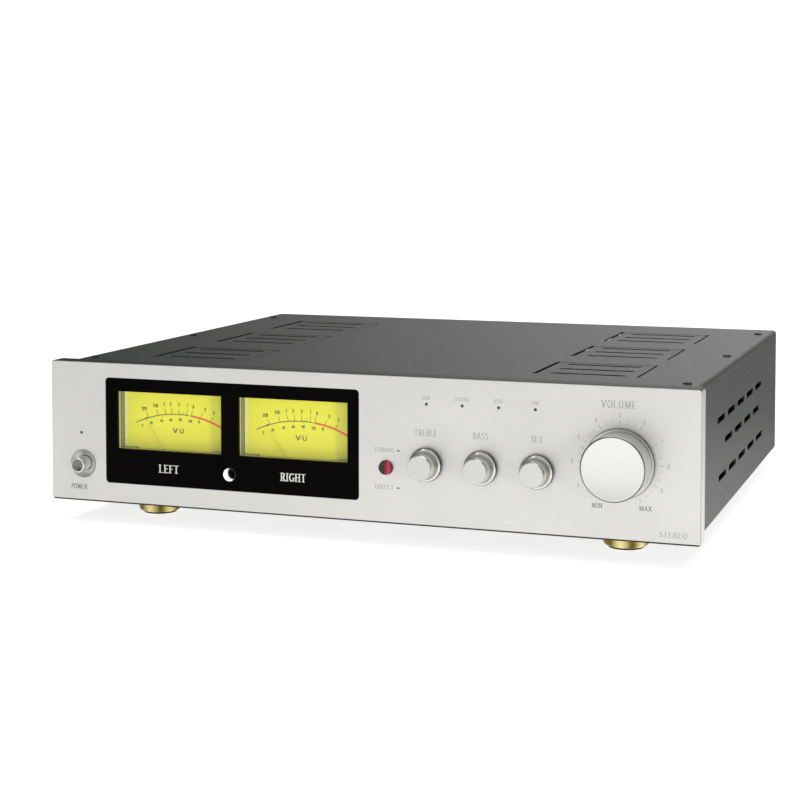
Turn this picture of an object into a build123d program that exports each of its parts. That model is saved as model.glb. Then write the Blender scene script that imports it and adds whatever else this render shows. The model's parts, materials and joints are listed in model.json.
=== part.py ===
"""Stereo power amplifier with two VU meters: a full-width desktop component in separate pieces.

Millimetres, +Z up, +X to the viewer's right, front towards -Y.
The origin is the middle of the footprint, on the surface that the feet stand on.
"""

from build123d import *
import math
import os

# ---- Overall sizes ----
PANEL_W = 430.0
PANEL_H = 92.3
PANEL_T = 12.0
PANEL_CORNER = 2.0
PANEL_EDGE = 0.9
BODY_D = 365.0
FOOT_H = 14.0
COVER_HALF = 209.7
COVER_DROP = 1.5
COVER_T = 1.2
COVER_BEND = 2.6
PLATE_T = 1.5
RUNNING = 0.05

# ---- Places that follow from them ----
FRONT = -BODY_D / 2
BACK = BODY_D / 2
BOTTOM = FOOT_H
TOP = BOTTOM + PANEL_H
PANEL_BACK = FRONT + PANEL_T
PLATE_BACK = PANEL_BACK + PLATE_T
COVER_TOP = TOP - COVER_DROP
COVER_IN = COVER_HALF - COVER_T
LID_IN = COVER_TOP - COVER_T
FLOOR_TOP = BOTTOM + PLATE_T
REAR_OUT = BACK - 1.0
REAR_IN = REAR_OUT - PLATE_T
INNER_TOP = LID_IN - 0.2

# ---- Meter bezel, windows and housings: x, then height above the faceplate's lower edge ----
BEZEL_LEFT, BEZEL_RIGHT = -174.8, 2.4
BEZEL_LOW, BEZEL_HIGH = 13.3, 82.5
BEZEL_CORNER = 2.6
BEZEL_GAP = 0.15
BEZEL_SET_BACK = 0.2
BEZEL_T = 4.0
SKIRT_T = 1.2
WINDOW_W, WINDOW_H = 74.5, 37.6
WINDOW_Z = 55.0
METER_X = (-129.15, -42.6)
PANE_W, PANE_H, PANE_T = 77.6, 40.6, 1.6
DIAL_DEPTH = 11.0
DIAL_T = 0.8
TUNNEL_HALF = 37.6
HOUSING_HALF = 42.0
HOUSING_LOWER_HALF = 33.0
HOUSING_SHOULDER = 35.0
PIVOT_Z = 25.5
PIVOT_SHIFT = 1.2
PIVOT_RELIEF_R = 2.5
NEEDLE_REACH = 33.5
NEEDLE_REST = 37.0
NEEDLE_DEPTH = 8.8
STAFF_R = 0.75
METER_BACK = -152.5
BOARD_T = 1.6

# ---- Controls on the faceplate ----
SMALL_KNOB_X = (46.5, 81.6, 116.7)
SMALL_KNOB_Z = 38.4
VOLUME_X, VOLUME_Z = 167.0, 46.2
KNOB_GAP = 0.5
SHAFT_R = 3.0
BUSHING_R = 3.5
POT_BACK = PLATE_BACK + 10.0
POWER_X, POWER_Z, POWER_R = -191.6, 24.9, 4.86
POWER_REACH = 7.9
POWER_TRAVEL = 4.0
DISH_R, DISH_DEEP, DISH_FLOOR_R = 9.4, 2.4, 5.15
TONE_X, TONE_Z, TONE_R = 20.3, 35.0, 4.3
TONE_REACH = 2.3
TONE_TRAVEL = 1.8
LED_X = (46.5, 69.4, 92.4, 115.3)
LED_Z = 75.6
POWER_LED_X, POWER_LED_Z = -192.8, 45.3
LED_R = 0.95
JACK_X, JACK_Z = -86.3, 23.7
JACK_BORE_R = 3.25

# ---- Vents ----
SLOT_L, SLOT_H = 30.0, 4.0
SLOT_PITCH = 41.4
SLOT_ROWS = ((60.2, 103.5, 5), (44.0, 134.0, 4), (22.7, 109.5, 5))
VENT_X = 133.3
VENT_W, VENT_L = 67.5, 64.0
VENT_Y = (82.5, 181.5, 280.5)
VENT_GAP = 2.0
VENT_DROP = 0.4
LOUVRE_L, LOUVRE_W = 49.0, 4.6
LOUVRE_PITCH = 23.0

# ---- Screws ----
M3_R, M3_HEAD_R, M3_HEAD_H = 1.5, 2.8, 1.8
COVER_SCREW_X = 200.5
COVER_SCREW_Y = (33.0, 182.5, 332.0)
COVER_SCREW_HEAD_H = 0.9
PANEL_SCREWS = tuple((x, z) for x in (-201.0, 20.0, 199.0) for z in (7.0, 84.0))
REAR_SCREWS = tuple((x, z) for x in (-203.0, 203.0) for z in (28.0, 58.0, 88.0)) + ((-60.0, 20.0), (60.0, 20.0))

# ---- Rear connectors ----
INLET_X, INLET_Z = -165.0, 58.0
INLET_W, INLET_H = 26.6, 44.0
RCA_X = tuple(-104.0 + 20.0 * n for n in range(5))
RCA_Z = (50.0, 71.0)
RCA_R = 4.15
POST_X = (66.0, 96.0, 140.0, 170.0)
POST_Z = 54.0
POST_R = 3.0
POST_CAP_R = 8.4
POST_CAP_Y = (BACK + 3.0, BACK + 21.0)
BANANA_R = 2.0

# ---- Inside ----
TOROID_X, TOROID_Y = -115.0, -66.0
TOROID_IN, TOROID_OUT, TOROID_H = 18.0, 55.0, 50.0
PAD_T = 3.0
TOROID_BOLT_R = 4.0
STANDOFF_H = 10.0
BOARD_Z = FLOOR_TOP + STANDOFF_H
BOARD_TOP = BOARD_Z + BOARD_T
BOARD_X = (-45.0, 111.5)
BOARD_Y = (-112.0, 150.0)
BOARD_HOLES = tuple((x, y) for x in (-38.0, 34.0, 100.0) for y in (-105.0, 143.0))
SINK_X, SINK_Y = (112.0, 178.0), (-65.0, 115.0)
SINK_TOP = 92.0
SINK_BASE_T = 5.0
FIN_T, FIN_PITCH = 1.8, 9.9

# ---- Feet ----
FOOT_X, FOOT_Y = 160.5, 133.5
FOOT_R, FOOT_FLANGE_R, FOOT_PAD_R = 14.6, 16.2, 11.0

os.makedirs("parts", exist_ok=True)


def facing_front(depth):
    """A plane at Y = depth that looks out of the front: its x is X and its y is Z."""
    return Plane.XZ.offset(-depth)


def on_panel(x, height):
    """A place on such a plane, from the height above the faceplate's lower edge."""
    return (x, BOTTOM + height)


def turning_plane(x, z):
    """A plane for turned profiles: its x is the radius and its y is Y."""
    return Plane(origin=(x, 0, z))


def turning_axis(x, z):
    """The line along Y that such a profile turns about."""
    return Axis((x, 0, z), (0, 1, 0))


def save(piece, name):
    """Label a finished piece and write its STEP file."""
    piece.part.label = name
    export_step(piece.part, f"parts/{name}.step")


# ---------------------------------------------------------------- chassis tray
WALL_WINDOW_Y = (-95.0, 108.0)
FLANGE_W = 13.0
with BuildPart() as chassis_tray:
    with BuildSketch(facing_front(REAR_IN)):
        with BuildLine():
            FilletPolyline(
                (-COVER_IN + FLANGE_W, LID_IN),
                (-COVER_IN, LID_IN),
                (-COVER_IN, BOTTOM),
                (COVER_IN, BOTTOM),
                (COVER_IN, LID_IN),
                (COVER_IN - FLANGE_W, LID_IN),
                radius=2.2,
            )
            offset(amount=-PLATE_T, side=Side.LEFT, closed=True)
        make_face()
    extrude(amount=REAR_IN - PLATE_BACK)
    # side walls are cut away where the cover has its slots
    with BuildSketch(Plane.YZ):
        with Locations(((WALL_WINDOW_Y[0] + WALL_WINDOW_Y[1]) / 2, BOTTOM + 42.0)):
            RectangleRounded(WALL_WINDOW_Y[1] - WALL_WINDOW_Y[0], 62.0, 5.0)
    extrude(amount=PANEL_W, both=True, mode=Mode.SUBTRACT)
    # turned-in lips at the rear, which the rear panel is screwed to
    for side in (-1, 1):
        with BuildSketch(facing_front(REAR_IN)):
            with Locations((side * (COVER_IN - 6.5), (BOTTOM + LID_IN) / 2)):
                Rectangle(10.0, LID_IN - BOTTOM - 2 * PLATE_T)
        extrude(amount=PLATE_T)
    with BuildSketch(facing_front(REAR_IN)):
        with Locations((0, FLOOR_TOP + 4.5)):
            Rectangle(190.0, 9.0)
    extrude(amount=PLATE_T)
    with BuildSketch(facing_front(REAR_IN)):
        with Locations(*REAR_SCREWS):
            Circle(M3_R)
    extrude(amount=PLATE_T, mode=Mode.SUBTRACT)
    # cover screws go into the top flanges
    with BuildSketch(Plane.XY.offset(LID_IN)):
        with Locations(*[(s * COVER_SCREW_X, FRONT + y) for s in (-1, 1) for y in COVER_SCREW_Y]):
            Circle(M3_R)
    extrude(amount=-PLATE_T, mode=Mode.SUBTRACT)
    # holes in the floor: feet, transformer bolt, standoffs and air slots below the heatsink
    with BuildSketch(Plane.XY.offset(FLOOR_TOP)):
        with GridLocations(2 * FOOT_X, 2 * FOOT_Y, 2, 2):
            Circle(2.0)
        with Locations((TOROID_X, TOROID_Y)):
            Circle(TOROID_BOLT_R)
        with Locations(*BOARD_HOLES):
            Circle(M3_R)
        with Locations((sum(SINK_X) / 2, sum(SINK_Y) / 2)):
            with GridLocations(9.0, 48.0, 7, 4):
                SlotOverall(34.0, 4.5, rotation=90)
        with Locations((10.0, 20.0)):
            with GridLocations(14.0, 60.0, 5, 3):
                SlotOverall(40.0, 4.5, rotation=90)
    extrude(amount=-PLATE_T, mode=Mode.SUBTRACT)
save(chassis_tray, "chassis_tray")

# ---------------------------------------------------------------- plate behind the faceplate
METER_CUT = (BEZEL_LEFT + 1.5, BEZEL_RIGHT - 1.5, 14.4, 81.6)
with BuildPart() as sub_front_plate:
    with BuildSketch(facing_front(PLATE_BACK)):
        with Locations((0, (FLOOR_TOP + INNER_TOP) / 2 - 0.75)):
            Rectangle(2 * (COVER_IN - 2.0), INNER_TOP - FLOOR_TOP - 0.1)
        with Locations(on_panel((METER_CUT[0] + METER_CUT[1]) / 2, (METER_CUT[2] + METER_CUT[3]) / 2)):
            Rectangle(METER_CUT[1] - METER_CUT[0], METER_CUT[3] - METER_CUT[2], mode=Mode.SUBTRACT)
        with Locations(*[on_panel(x, SMALL_KNOB_Z) for x in SMALL_KNOB_X], on_panel(VOLUME_X, VOLUME_Z)):
            Circle(BUSHING_R + RUNNING, mode=Mode.SUBTRACT)
        with Locations(on_panel(POWER_X, POWER_Z)):
            Circle(DISH_FLOOR_R + 0.25, mode=Mode.SUBTRACT)
        with Locations(on_panel(TONE_X, TONE_Z)):
            Circle(TONE_R + 0.4, mode=Mode.SUBTRACT)
        with Locations(*[on_panel(x, LED_Z) for x in LED_X], on_panel(POWER_LED_X, POWER_LED_Z)):
            Circle(LED_R + 0.1, mode=Mode.SUBTRACT)
        with Locations(*[on_panel(x, z) for x, z in PANEL_SCREWS]):
            Circle(M3_R + 0.1, mode=Mode.SUBTRACT)
    extrude(amount=PLATE_T)
save(sub_front_plate, "sub_front_plate")

# ---------------------------------------------------------------- faceplate
NUT_POCKET_R, NUT_POCKET_DEEP = 8.5, 6.0
DISH_CENTRE = (DISH_R**2 - DISH_FLOOR_R**2 - DISH_DEEP**2) / (2 * DISH_DEEP)
with BuildPart() as front_panel:
    with BuildSketch(facing_front(PANEL_BACK)):
        with Locations((0, BOTTOM + PANEL_H / 2)):
            RectangleRounded(PANEL_W, PANEL_H, PANEL_CORNER)
    extrude(amount=PANEL_T)
    fillet(front_panel.faces().sort_by(Axis.Y)[0].edges(), PANEL_EDGE)
    with BuildSketch(facing_front(PANEL_BACK)):
        with Locations(on_panel((BEZEL_LEFT + BEZEL_RIGHT) / 2, (BEZEL_LOW + BEZEL_HIGH) / 2)):
            RectangleRounded(BEZEL_RIGHT - BEZEL_LEFT, BEZEL_HIGH - BEZEL_LOW, BEZEL_CORNER)
        with Locations(*[on_panel(x, SMALL_KNOB_Z) for x in SMALL_KNOB_X], on_panel(VOLUME_X, VOLUME_Z)):
            Circle(SHAFT_R + 0.6)
        with Locations(on_panel(POWER_X, POWER_Z)):
            Circle(DISH_FLOOR_R)
        with Locations(on_panel(TONE_X, TONE_Z)):
            Circle(TONE_R + 0.3)
        with Locations(*[on_panel(x, LED_Z) for x in LED_X], on_panel(POWER_LED_X, POWER_LED_Z)):
            Circle(LED_R + 0.05)
    extrude(amount=PANEL_T, mode=Mode.SUBTRACT)
    with BuildSketch(facing_front(PANEL_BACK)):
        with Locations(*[on_panel(x, SMALL_KNOB_Z) for x in SMALL_KNOB_X], on_panel(VOLUME_X, VOLUME_Z)):
            Circle(NUT_POCKET_R)
    extrude(amount=NUT_POCKET_DEEP, mode=Mode.SUBTRACT)
    with BuildSketch(facing_front(PANEL_BACK)):
        with Locations(*[on_panel(x, z) for x, z in PANEL_SCREWS]):
            Circle(M3_R)
    extrude(amount=7.5, mode=Mode.SUBTRACT)
    with Locations((POWER_X, FRONT - DISH_CENTRE, BOTTOM + POWER_Z)):
        Sphere(math.hypot(DISH_R, DISH_CENTRE), mode=Mode.SUBTRACT)
save(front_panel, "front_panel")

# ---------------------------------------------------------------- rear panel
with BuildPart() as rear_panel:
    with BuildSketch(facing_front(REAR_OUT)):
        with Locations((0, (BOTTOM + LID_IN) / 2)):
            RectangleRounded(2 * (COVER_IN - 0.2), LID_IN - BOTTOM - 0.4, 1.8)
        with Locations((INLET_X, INLET_Z)):
            Rectangle(INLET_W + 0.4, INLET_H + 0.4, mode=Mode.SUBTRACT)
        with Locations(*[(x, z) for x in RCA_X for z in RCA_Z]):
            Circle(5.9, mode=Mode.SUBTRACT)
        with Locations(*[(x, POST_Z) for x in POST_X]):
            Circle(5.2, mode=Mode.SUBTRACT)
        with Locations(*REAR_SCREWS):
            Circle(M3_R + 0.1, mode=Mode.SUBTRACT)
        with Locations((-60.0, 91.0)):
            with GridLocations(9.0, 0.0, 12, 1):
                SlotOverall(14.0, 3.2, rotation=90, mode=Mode.SUBTRACT)
        with Locations((110.0, 88.0)):
            with GridLocations(9.0, 0.0, 12, 1):
                SlotOverall(20.0, 3.2, rotation=90, mode=Mode.SUBTRACT)
    extrude(amount=PLATE_T)
save(rear_panel, "rear_panel")

# ---------------------------------------------------------------- cover
COVER_LOW = BOTTOM + 0.3
with BuildPart() as top_cover:
    with BuildSketch(facing_front(BACK)):
        with BuildLine():
            FilletPolyline(
                (-COVER_HALF, COVER_LOW),
                (-COVER_HALF, COVER_TOP),
                (COVER_HALF, COVER_TOP),
                (COVER_HALF, COVER_LOW),
                radius=COVER_BEND,
            )
            offset(amount=-COVER_T, side=Side.RIGHT, closed=True)
        make_face()
    extrude(amount=BACK - PANEL_BACK)
    # three staggered rows of slots through both sides
    for height, first, count in SLOT_ROWS:
        with BuildSketch(Plane.YZ):
            for n in range(count):
                with Locations((FRONT + first + n * SLOT_PITCH, BOTTOM + height)):
                    SlotOverall(SLOT_L, SLOT_H)
        extrude(amount=PANEL_W, both=True, mode=Mode.SUBTRACT)
    # windows in the top that the pressed vents fill
    with BuildSketch(Plane.XY.offset(COVER_TOP)):
        with Locations(*[(s * VENT_X, FRONT + y) for s in (-1, 1) for y in VENT_Y]):
            Rectangle(VENT_W, VENT_L)
    extrude(amount=-COVER_T, mode=Mode.SUBTRACT)
    # each vent is pressed down as a shallow tray, open at its two ends
    for side in (-1, 1):
        with BuildSketch(Plane.YZ.offset(side * VENT_X - VENT_W / 2 + VENT_GAP)):
            for y in VENT_Y:
                near, far = FRONT + y - VENT_L / 2, FRONT + y + VENT_L / 2
                with BuildLine():
                    Polyline(
                        (near, COVER_TOP),
                        (near + 3.0, COVER_TOP - VENT_DROP),
                        (far - 3.0, COVER_TOP - VENT_DROP),
                        (far, COVER_TOP),
                        (far, COVER_TOP - COVER_T),
                        (far - 2.6, COVER_TOP - VENT_DROP - COVER_T),
                        (near + 2.6, COVER_TOP - VENT_DROP - COVER_T),
                        (near, COVER_TOP - COVER_T),
                        close=True,
                    )
                make_face()
        extrude(amount=VENT_W - 2 * VENT_GAP)
    with BuildSketch(Plane.XY.offset(COVER_TOP)):
        with Locations(*[(s * VENT_X, FRONT + y) for s in (-1, 1) for y in VENT_Y]):
            with GridLocations(0.0, LOUVRE_PITCH, 1, 3):
                SlotOverall(LOUVRE_L, LOUVRE_W)
    extrude(amount=-5.0, mode=Mode.SUBTRACT)
    with BuildSketch(Plane.XY.offset(COVER_TOP)):
        with Locations(*[(s * COVER_SCREW_X, FRONT + y) for s in (-1, 1) for y in COVER_SCREW_Y]):
            Circle(M3_R + 0.1)
    extrude(amount=-COVER_T, mode=Mode.SUBTRACT)
save(top_cover, "top_cover")

# ---------------------------------------------------------------- cover screws
with BuildPart() as cover_screws:
    for side in (-1, 1):
        for y in COVER_SCREW_Y:
            with BuildSketch(Plane.XY.offset(COVER_TOP - 5.0)):
                with Locations((side * COVER_SCREW_X, FRONT + y)):
                    Circle(M3_R)
            extrude(amount=5.0)
            with BuildSketch(Plane.XY.offset(COVER_TOP)):
                with Locations((side * COVER_SCREW_X, FRONT + y)):
                    Circle(M3_HEAD_R)
            extrude(amount=COVER_SCREW_HEAD_H, taper=18)
            with BuildSketch(Plane.XY.offset(COVER_TOP + COVER_SCREW_HEAD_H)):
                with Locations((side * COVER_SCREW_X, FRONT + y)):
                    Rectangle(3.0, 0.7)
                    Rectangle(0.7, 3.0)
            extrude(amount=-0.6, mode=Mode.SUBTRACT)
save(cover_screws, "cover_screws")

# ---------------------------------------------------------------- machine screws
with BuildPart() as machine_screws:
    # faceplate screws, put in from behind the plate
    with BuildSketch(facing_front(PLATE_BACK)):
        with Locations(*[on_panel(x, z) for x, z in PANEL_SCREWS]):
            Circle(M3_R)
    extrude(amount=8.0)
    with BuildSketch(facing_front(PLATE_BACK + M3_HEAD_H)):
        with Locations(*[on_panel(x, z) for x, z in PANEL_SCREWS]):
            Circle(M3_HEAD_R)
    extrude(amount=M3_HEAD_H)
    # rear panel screws, put in from outside
    with BuildSketch(facing_front(REAR_OUT)):
        with Locations(*REAR_SCREWS):
            Circle(M3_R)
    extrude(amount=6.0)
    with BuildSketch(facing_front(REAR_OUT + M3_HEAD_H)):
        with Locations(*REAR_SCREWS):
            Circle(M3_HEAD_R)
    extrude(amount=M3_HEAD_H)
    with BuildSketch(facing_front(REAR_OUT + M3_HEAD_H)):
        with Locations(*REAR_SCREWS):
            Rectangle(3.2, 0.8)
            Rectangle(0.8, 3.2)
    extrude(amount=1.0, mode=Mode.SUBTRACT)
    # circuit board screws
    with BuildSketch(Plane.XY.offset(BOARD_TOP)):
        with Locations(*BOARD_HOLES):
            Circle(M3_R)
    extrude(amount=-7.0)
    with BuildSketch(Plane.XY.offset(BOARD_TOP)):
        with Locations(*BOARD_HOLES):
            Circle(M3_HEAD_R)
    extrude(amount=M3_HEAD_H)
save(machine_screws, "machine_screws")

# ---------------------------------------------------------------- meter bezel
BEZEL_Y = FRONT + BEZEL_SET_BACK
BEZEL_MID = on_panel((BEZEL_LEFT + BEZEL_RIGHT) / 2, (BEZEL_LOW + BEZEL_HIGH) / 2)
BEZEL_W = BEZEL_RIGHT - BEZEL_LEFT - 2 * BEZEL_GAP
BEZEL_H = BEZEL_HIGH - BEZEL_LOW - 2 * BEZEL_GAP
with BuildPart() as meter_bezel:
    with BuildSketch(facing_front(PANEL_BACK)):
        with Locations(BEZEL_MID):
            RectangleRounded(BEZEL_W, BEZEL_H, BEZEL_CORNER - BEZEL_GAP)
    extrude(amount=PANEL_BACK - BEZEL_Y)
    with BuildSketch(facing_front(PANEL_BACK)):
        with Locations(BEZEL_MID):
            RectangleRounded(BEZEL_W - 2 * SKIRT_T, BEZEL_H - 2 * SKIRT_T, 1.2)
    extrude(amount=PANEL_BACK - BEZEL_Y - BEZEL_T, mode=Mode.SUBTRACT)
    chamfer(meter_bezel.faces().sort_by(Axis.Y)[0].edges(), 0.3)
    with BuildSketch(facing_front(BEZEL_Y + BEZEL_T)):
        with Locations(*[on_panel(x, WINDOW_Z) for x in METER_X]):
            Rectangle(WINDOW_W, WINDOW_H)
        with Locations(on_panel(JACK_X, JACK_Z)):
            Circle(4.5)
    extrude(amount=BEZEL_T, mode=Mode.SUBTRACT)
    with BuildSketch(facing_front(BEZEL_Y + BEZEL_T)):
        with Locations(*[on_panel(x, WINDOW_Z) for x in METER_X]):
            Rectangle(PANE_W + 0.2, PANE_H + 0.2)
    extrude(amount=PANE_T, mode=Mode.SUBTRACT)
save(meter_bezel, "meter_bezel")

# ---------------------------------------------------------------- clear meter windows
with BuildPart() as meter_windows:
    with BuildSketch(facing_front(BEZEL_Y + BEZEL_T)):
        with Locations(*[on_panel(x, WINDOW_Z) for x in METER_X]):
            Rectangle(PANE_W, PANE_H)
    extrude(amount=PANE_T)
save(meter_windows, "meter_windows")

# ---------------------------------------------------------------- meters
HOUSING_FRONT = BEZEL_Y + BEZEL_T
SHELF_Y = FRONT + 7.5
DIAL_FRONT = FRONT + DIAL_DEPTH
MOVEMENT_Y = PLATE_BACK + 1.5


def meter_housing(x):
    """Meter case: a tunnel for the view, a cavity for the movement and a lamp chamber."""
    with BuildPart() as housing:
        with BuildSketch(facing_front(PLATE_BACK)):
            with Locations(on_panel(x, (HOUSING_SHOULDER + 80.8) / 2)):
                Rectangle(2 * HOUSING_HALF, 80.8 - HOUSING_SHOULDER)
            with Locations(on_panel(x, (14.8 + HOUSING_SHOULDER) / 2)):
                Rectangle(2 * HOUSING_LOWER_HALF, HOUSING_SHOULDER - 14.8)
        extrude(amount=PLATE_BACK - HOUSING_FRONT)
        with BuildSketch(facing_front(METER_BACK)):
            with Locations(on_panel(x, (HOUSING_SHOULDER + 84.0) / 2)):
                Rectangle(2 * HOUSING_HALF, 84.0 - HOUSING_SHOULDER)
            with Locations(on_panel(x, (4.0 + HOUSING_SHOULDER) / 2)):
                Rectangle(2 * HOUSING_LOWER_HALF, HOUSING_SHOULDER - 4.0)
        extrude(amount=METER_BACK - PLATE_BACK)
        # view tunnel in front of the dial
        with BuildSketch(facing_front(DIAL_FRONT + DIAL_T)):
            with Locations(on_panel(x, WINDOW_Z)):
                Rectangle(2 * TUNNEL_HALF, 38.0)
        extrude(amount=DIAL_FRONT + DIAL_T - HOUSING_FRONT, mode=Mode.SUBTRACT)
        # needle and movement cavity, from the shelf to the open back
        with BuildSketch(facing_front(METER_BACK)):
            with Locations(on_panel(x, (15.8 + 36.0) / 2)):
                Rectangle(56.0, 36.0 - 15.8)
        extrude(amount=METER_BACK - SHELF_Y, mode=Mode.SUBTRACT)
        with BuildSketch(facing_front(METER_BACK)):
            with Locations(on_panel(x, (6.0 + 36.0) / 2)):
                Rectangle(56.0, 36.0 - 6.0)
        extrude(amount=METER_BACK - MOVEMENT_Y, mode=Mode.SUBTRACT)
        # lamp chamber behind the dial
        with BuildSketch(facing_front(METER_BACK)):
            with Locations(on_panel(x, WINDOW_Z + 0.5)):
                Rectangle(72.0, 39.0)
        extrude(amount=METER_BACK - DIAL_FRONT - DIAL_T, mode=Mode.SUBTRACT)
    return housing


def meter_dial(x):
    """Thin translucent scale plate that hangs down in front of the movement."""
    with BuildPart() as dial:
        with BuildSketch(facing_front(DIAL_FRONT + DIAL_T)):
            with Locations(on_panel(x, WINDOW_Z)):
                Rectangle(2 * TUNNEL_HALF - 0.2, 37.8)
            with Locations(on_panel(x, 29.0)):
                Rectangle(54.0, 14.4)
            with Locations(on_panel(x + PIVOT_SHIFT, PIVOT_Z)):
                Circle(PIVOT_RELIEF_R, mode=Mode.SUBTRACT)
        extrude(amount=DIAL_T)
    return dial


def meter_needle(window_x):
    """Pointer, hub and staff, which turn as one."""
    x = window_x + PIVOT_SHIFT
    with BuildPart() as needle:
        with BuildSketch(turning_plane(x, BOTTOM + PIVOT_Z)):
            with BuildLine():
                Polyline(
                    (0, FRONT + NEEDLE_DEPTH - 0.7),
                    (1.2, FRONT + NEEDLE_DEPTH - 0.7),
                    (1.2, FRONT + NEEDLE_DEPTH + 0.7),
                    (STAFF_R, FRONT + NEEDLE_DEPTH + 0.7),
                    (STAFF_R, METER_BACK - 4.0),
                    (0, METER_BACK - 4.0),
                    close=True,
                )
            make_face()
        revolve(axis=turning_axis(x, BOTTOM + PIVOT_Z))
        lean = math.radians(NEEDLE_REST)
        leaning_plane = Plane(
            origin=(x, FRONT + NEEDLE_DEPTH + 0.25, BOTTOM + PIVOT_Z),
            x_dir=(math.cos(lean), 0, math.sin(lean)),
            z_dir=(0, -1, 0),
        )
        with BuildSketch(leaning_plane):
            with BuildLine():
                Polyline((-0.55, 0), (0.55, 0), (0.3, NEEDLE_REACH), (-0.3, NEEDLE_REACH), close=True)
            make_face()
        extrude(amount=0.5)
    return needle


meter_housing_left = meter_housing(METER_X[0])
save(meter_housing_left, "meter_housing_left")
meter_housing_right = meter_housing(METER_X[1])
save(meter_housing_right, "meter_housing_right")
meter_dial_left = meter_dial(METER_X[0])
save(meter_dial_left, "meter_dial_left")
meter_dial_right = meter_dial(METER_X[1])
save(meter_dial_right, "meter_dial_right")
meter_needle_left = meter_needle(METER_X[0])
save(meter_needle_left, "meter_needle_left")
meter_needle_right = meter_needle(METER_X[1])
save(meter_needle_right, "meter_needle_right")

with BuildPart() as meter_movements:
    # mounting plates, then the round magnet cans, bored for the staff
    with BuildSketch(facing_front(MOVEMENT_Y + 1.5)):
        with Locations(*[on_panel(x, 21.0) for x in METER_X]):
            Rectangle(54.0, 28.0)
    extrude(amount=1.5)
    with BuildSketch(facing_front(METER_BACK - 1.5)):
        with Locations(*[on_panel(x + PIVOT_SHIFT, PIVOT_Z) for x in METER_X]):
            Circle(10.0)
    extrude(amount=METER_BACK - 1.5 - MOVEMENT_Y - 1.5)
    with BuildSketch(facing_front(METER_BACK - 3.0)):
        with Locations(*[on_panel(x + PIVOT_SHIFT, PIVOT_Z) for x in METER_X]):
            Circle(STAFF_R + RUNNING)
    extrude(amount=METER_BACK - MOVEMENT_Y, mode=Mode.SUBTRACT)
save(meter_movements, "meter_movements")

with BuildPart() as meter_lamp_board:
    with BuildSketch(facing_front(METER_BACK + BOARD_T)):
        with Locations(on_panel((METER_X[0] + METER_X[1]) / 2, 44.0)):
            Rectangle(METER_X[1] - METER_X[0] + 2 * HOUSING_HALF, 80.0)
    extrude(amount=BOARD_T)
    with BuildSketch(facing_front(METER_BACK)):
        for x in METER_X:
            with Locations(on_panel(x, WINDOW_Z)):
                with GridLocations(24.0, 18.0, 3, 2):
                    Rectangle(5.0, 5.0)
    extrude(amount=3.0)
save(meter_lamp_board, "meter_lamp_board")


# ---------------------------------------------------------------- knobs and controls
def control_body(places, radius):
    """Rotary control: a round case with a bushing, bored for its shaft."""
    with BuildPart() as control:
        with BuildSketch(facing_front(POT_BACK)):
            with Locations(*[on_panel(x, z) for x, z in places]):
                Circle(radius)
        extrude(amount=POT_BACK - PLATE_BACK)
        with BuildSketch(facing_front(PLATE_BACK)):
            with Locations(*[on_panel(x, z) for x, z in places]):
                Circle(BUSHING_R)
        extrude(amount=7.0)
        with BuildSketch(facing_front(POT_BACK - 2.0)):
            with Locations(*[on_panel(x, z) for x, z in places]):
                Circle(SHAFT_R + RUNNING)
        extrude(amount=20.0, mode=Mode.SUBTRACT)
    return control


def control_shaft(x, z, knob_reach):
    """Steel shaft from inside the control to inside the knob."""
    back, front = POT_BACK - 2.5, FRONT - knob_reach + 4.5
    with BuildPart() as shaft:
        with BuildSketch(facing_front(back)):
            with Locations(on_panel(x, z)):
                Circle(SHAFT_R)
        extrude(amount=back - front)
        chamfer(shaft.faces().sort_by(Axis.Y)[0].edges(), 0.4)
    return shaft


def small_knob(x, z):
    """Waisted knob: a wide lip at the panel and a smaller flat face."""
    with BuildPart() as knob:
        with BuildSketch(turning_plane(x, BOTTOM + z)):
            with BuildLine():
                Polyline(
                    (SHAFT_R + 0.02, FRONT - KNOB_GAP),
                    (10.2, FRONT - KNOB_GAP),
                    (10.5, FRONT - KNOB_GAP - 0.4),
                    (10.5, FRONT - 2.4),
                )
                ThreePointArc((10.5, FRONT - 2.4), (10.2, FRONT - 3.4), (9.2, FRONT - 4.0))
                ThreePointArc((9.2, FRONT - 4.0), (7.9, FRONT - 8.0), (7.7, FRONT - 13.6))
                Polyline(
                    (7.7, FRONT - 13.6),
                    (7.2, FRONT - 14.5),
                    (0, FRONT - 14.5),
                    (0, FRONT - 10.0),
                    (SHAFT_R + 0.02, FRONT - 10.0),
                    (SHAFT_R + 0.02, FRONT - KNOB_GAP),
                )
            make_face()
        revolve(axis=turning_axis(x, BOTTOM + z))
    return knob


treble_knob = small_knob(SMALL_KNOB_X[0], SMALL_KNOB_Z)
save(treble_knob, "treble_knob")
bass_knob = small_knob(SMALL_KNOB_X[1], SMALL_KNOB_Z)
save(bass_knob, "bass_knob")
selector_knob = small_knob(SMALL_KNOB_X[2], SMALL_KNOB_Z)
save(selector_knob, "selector_knob")

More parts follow.
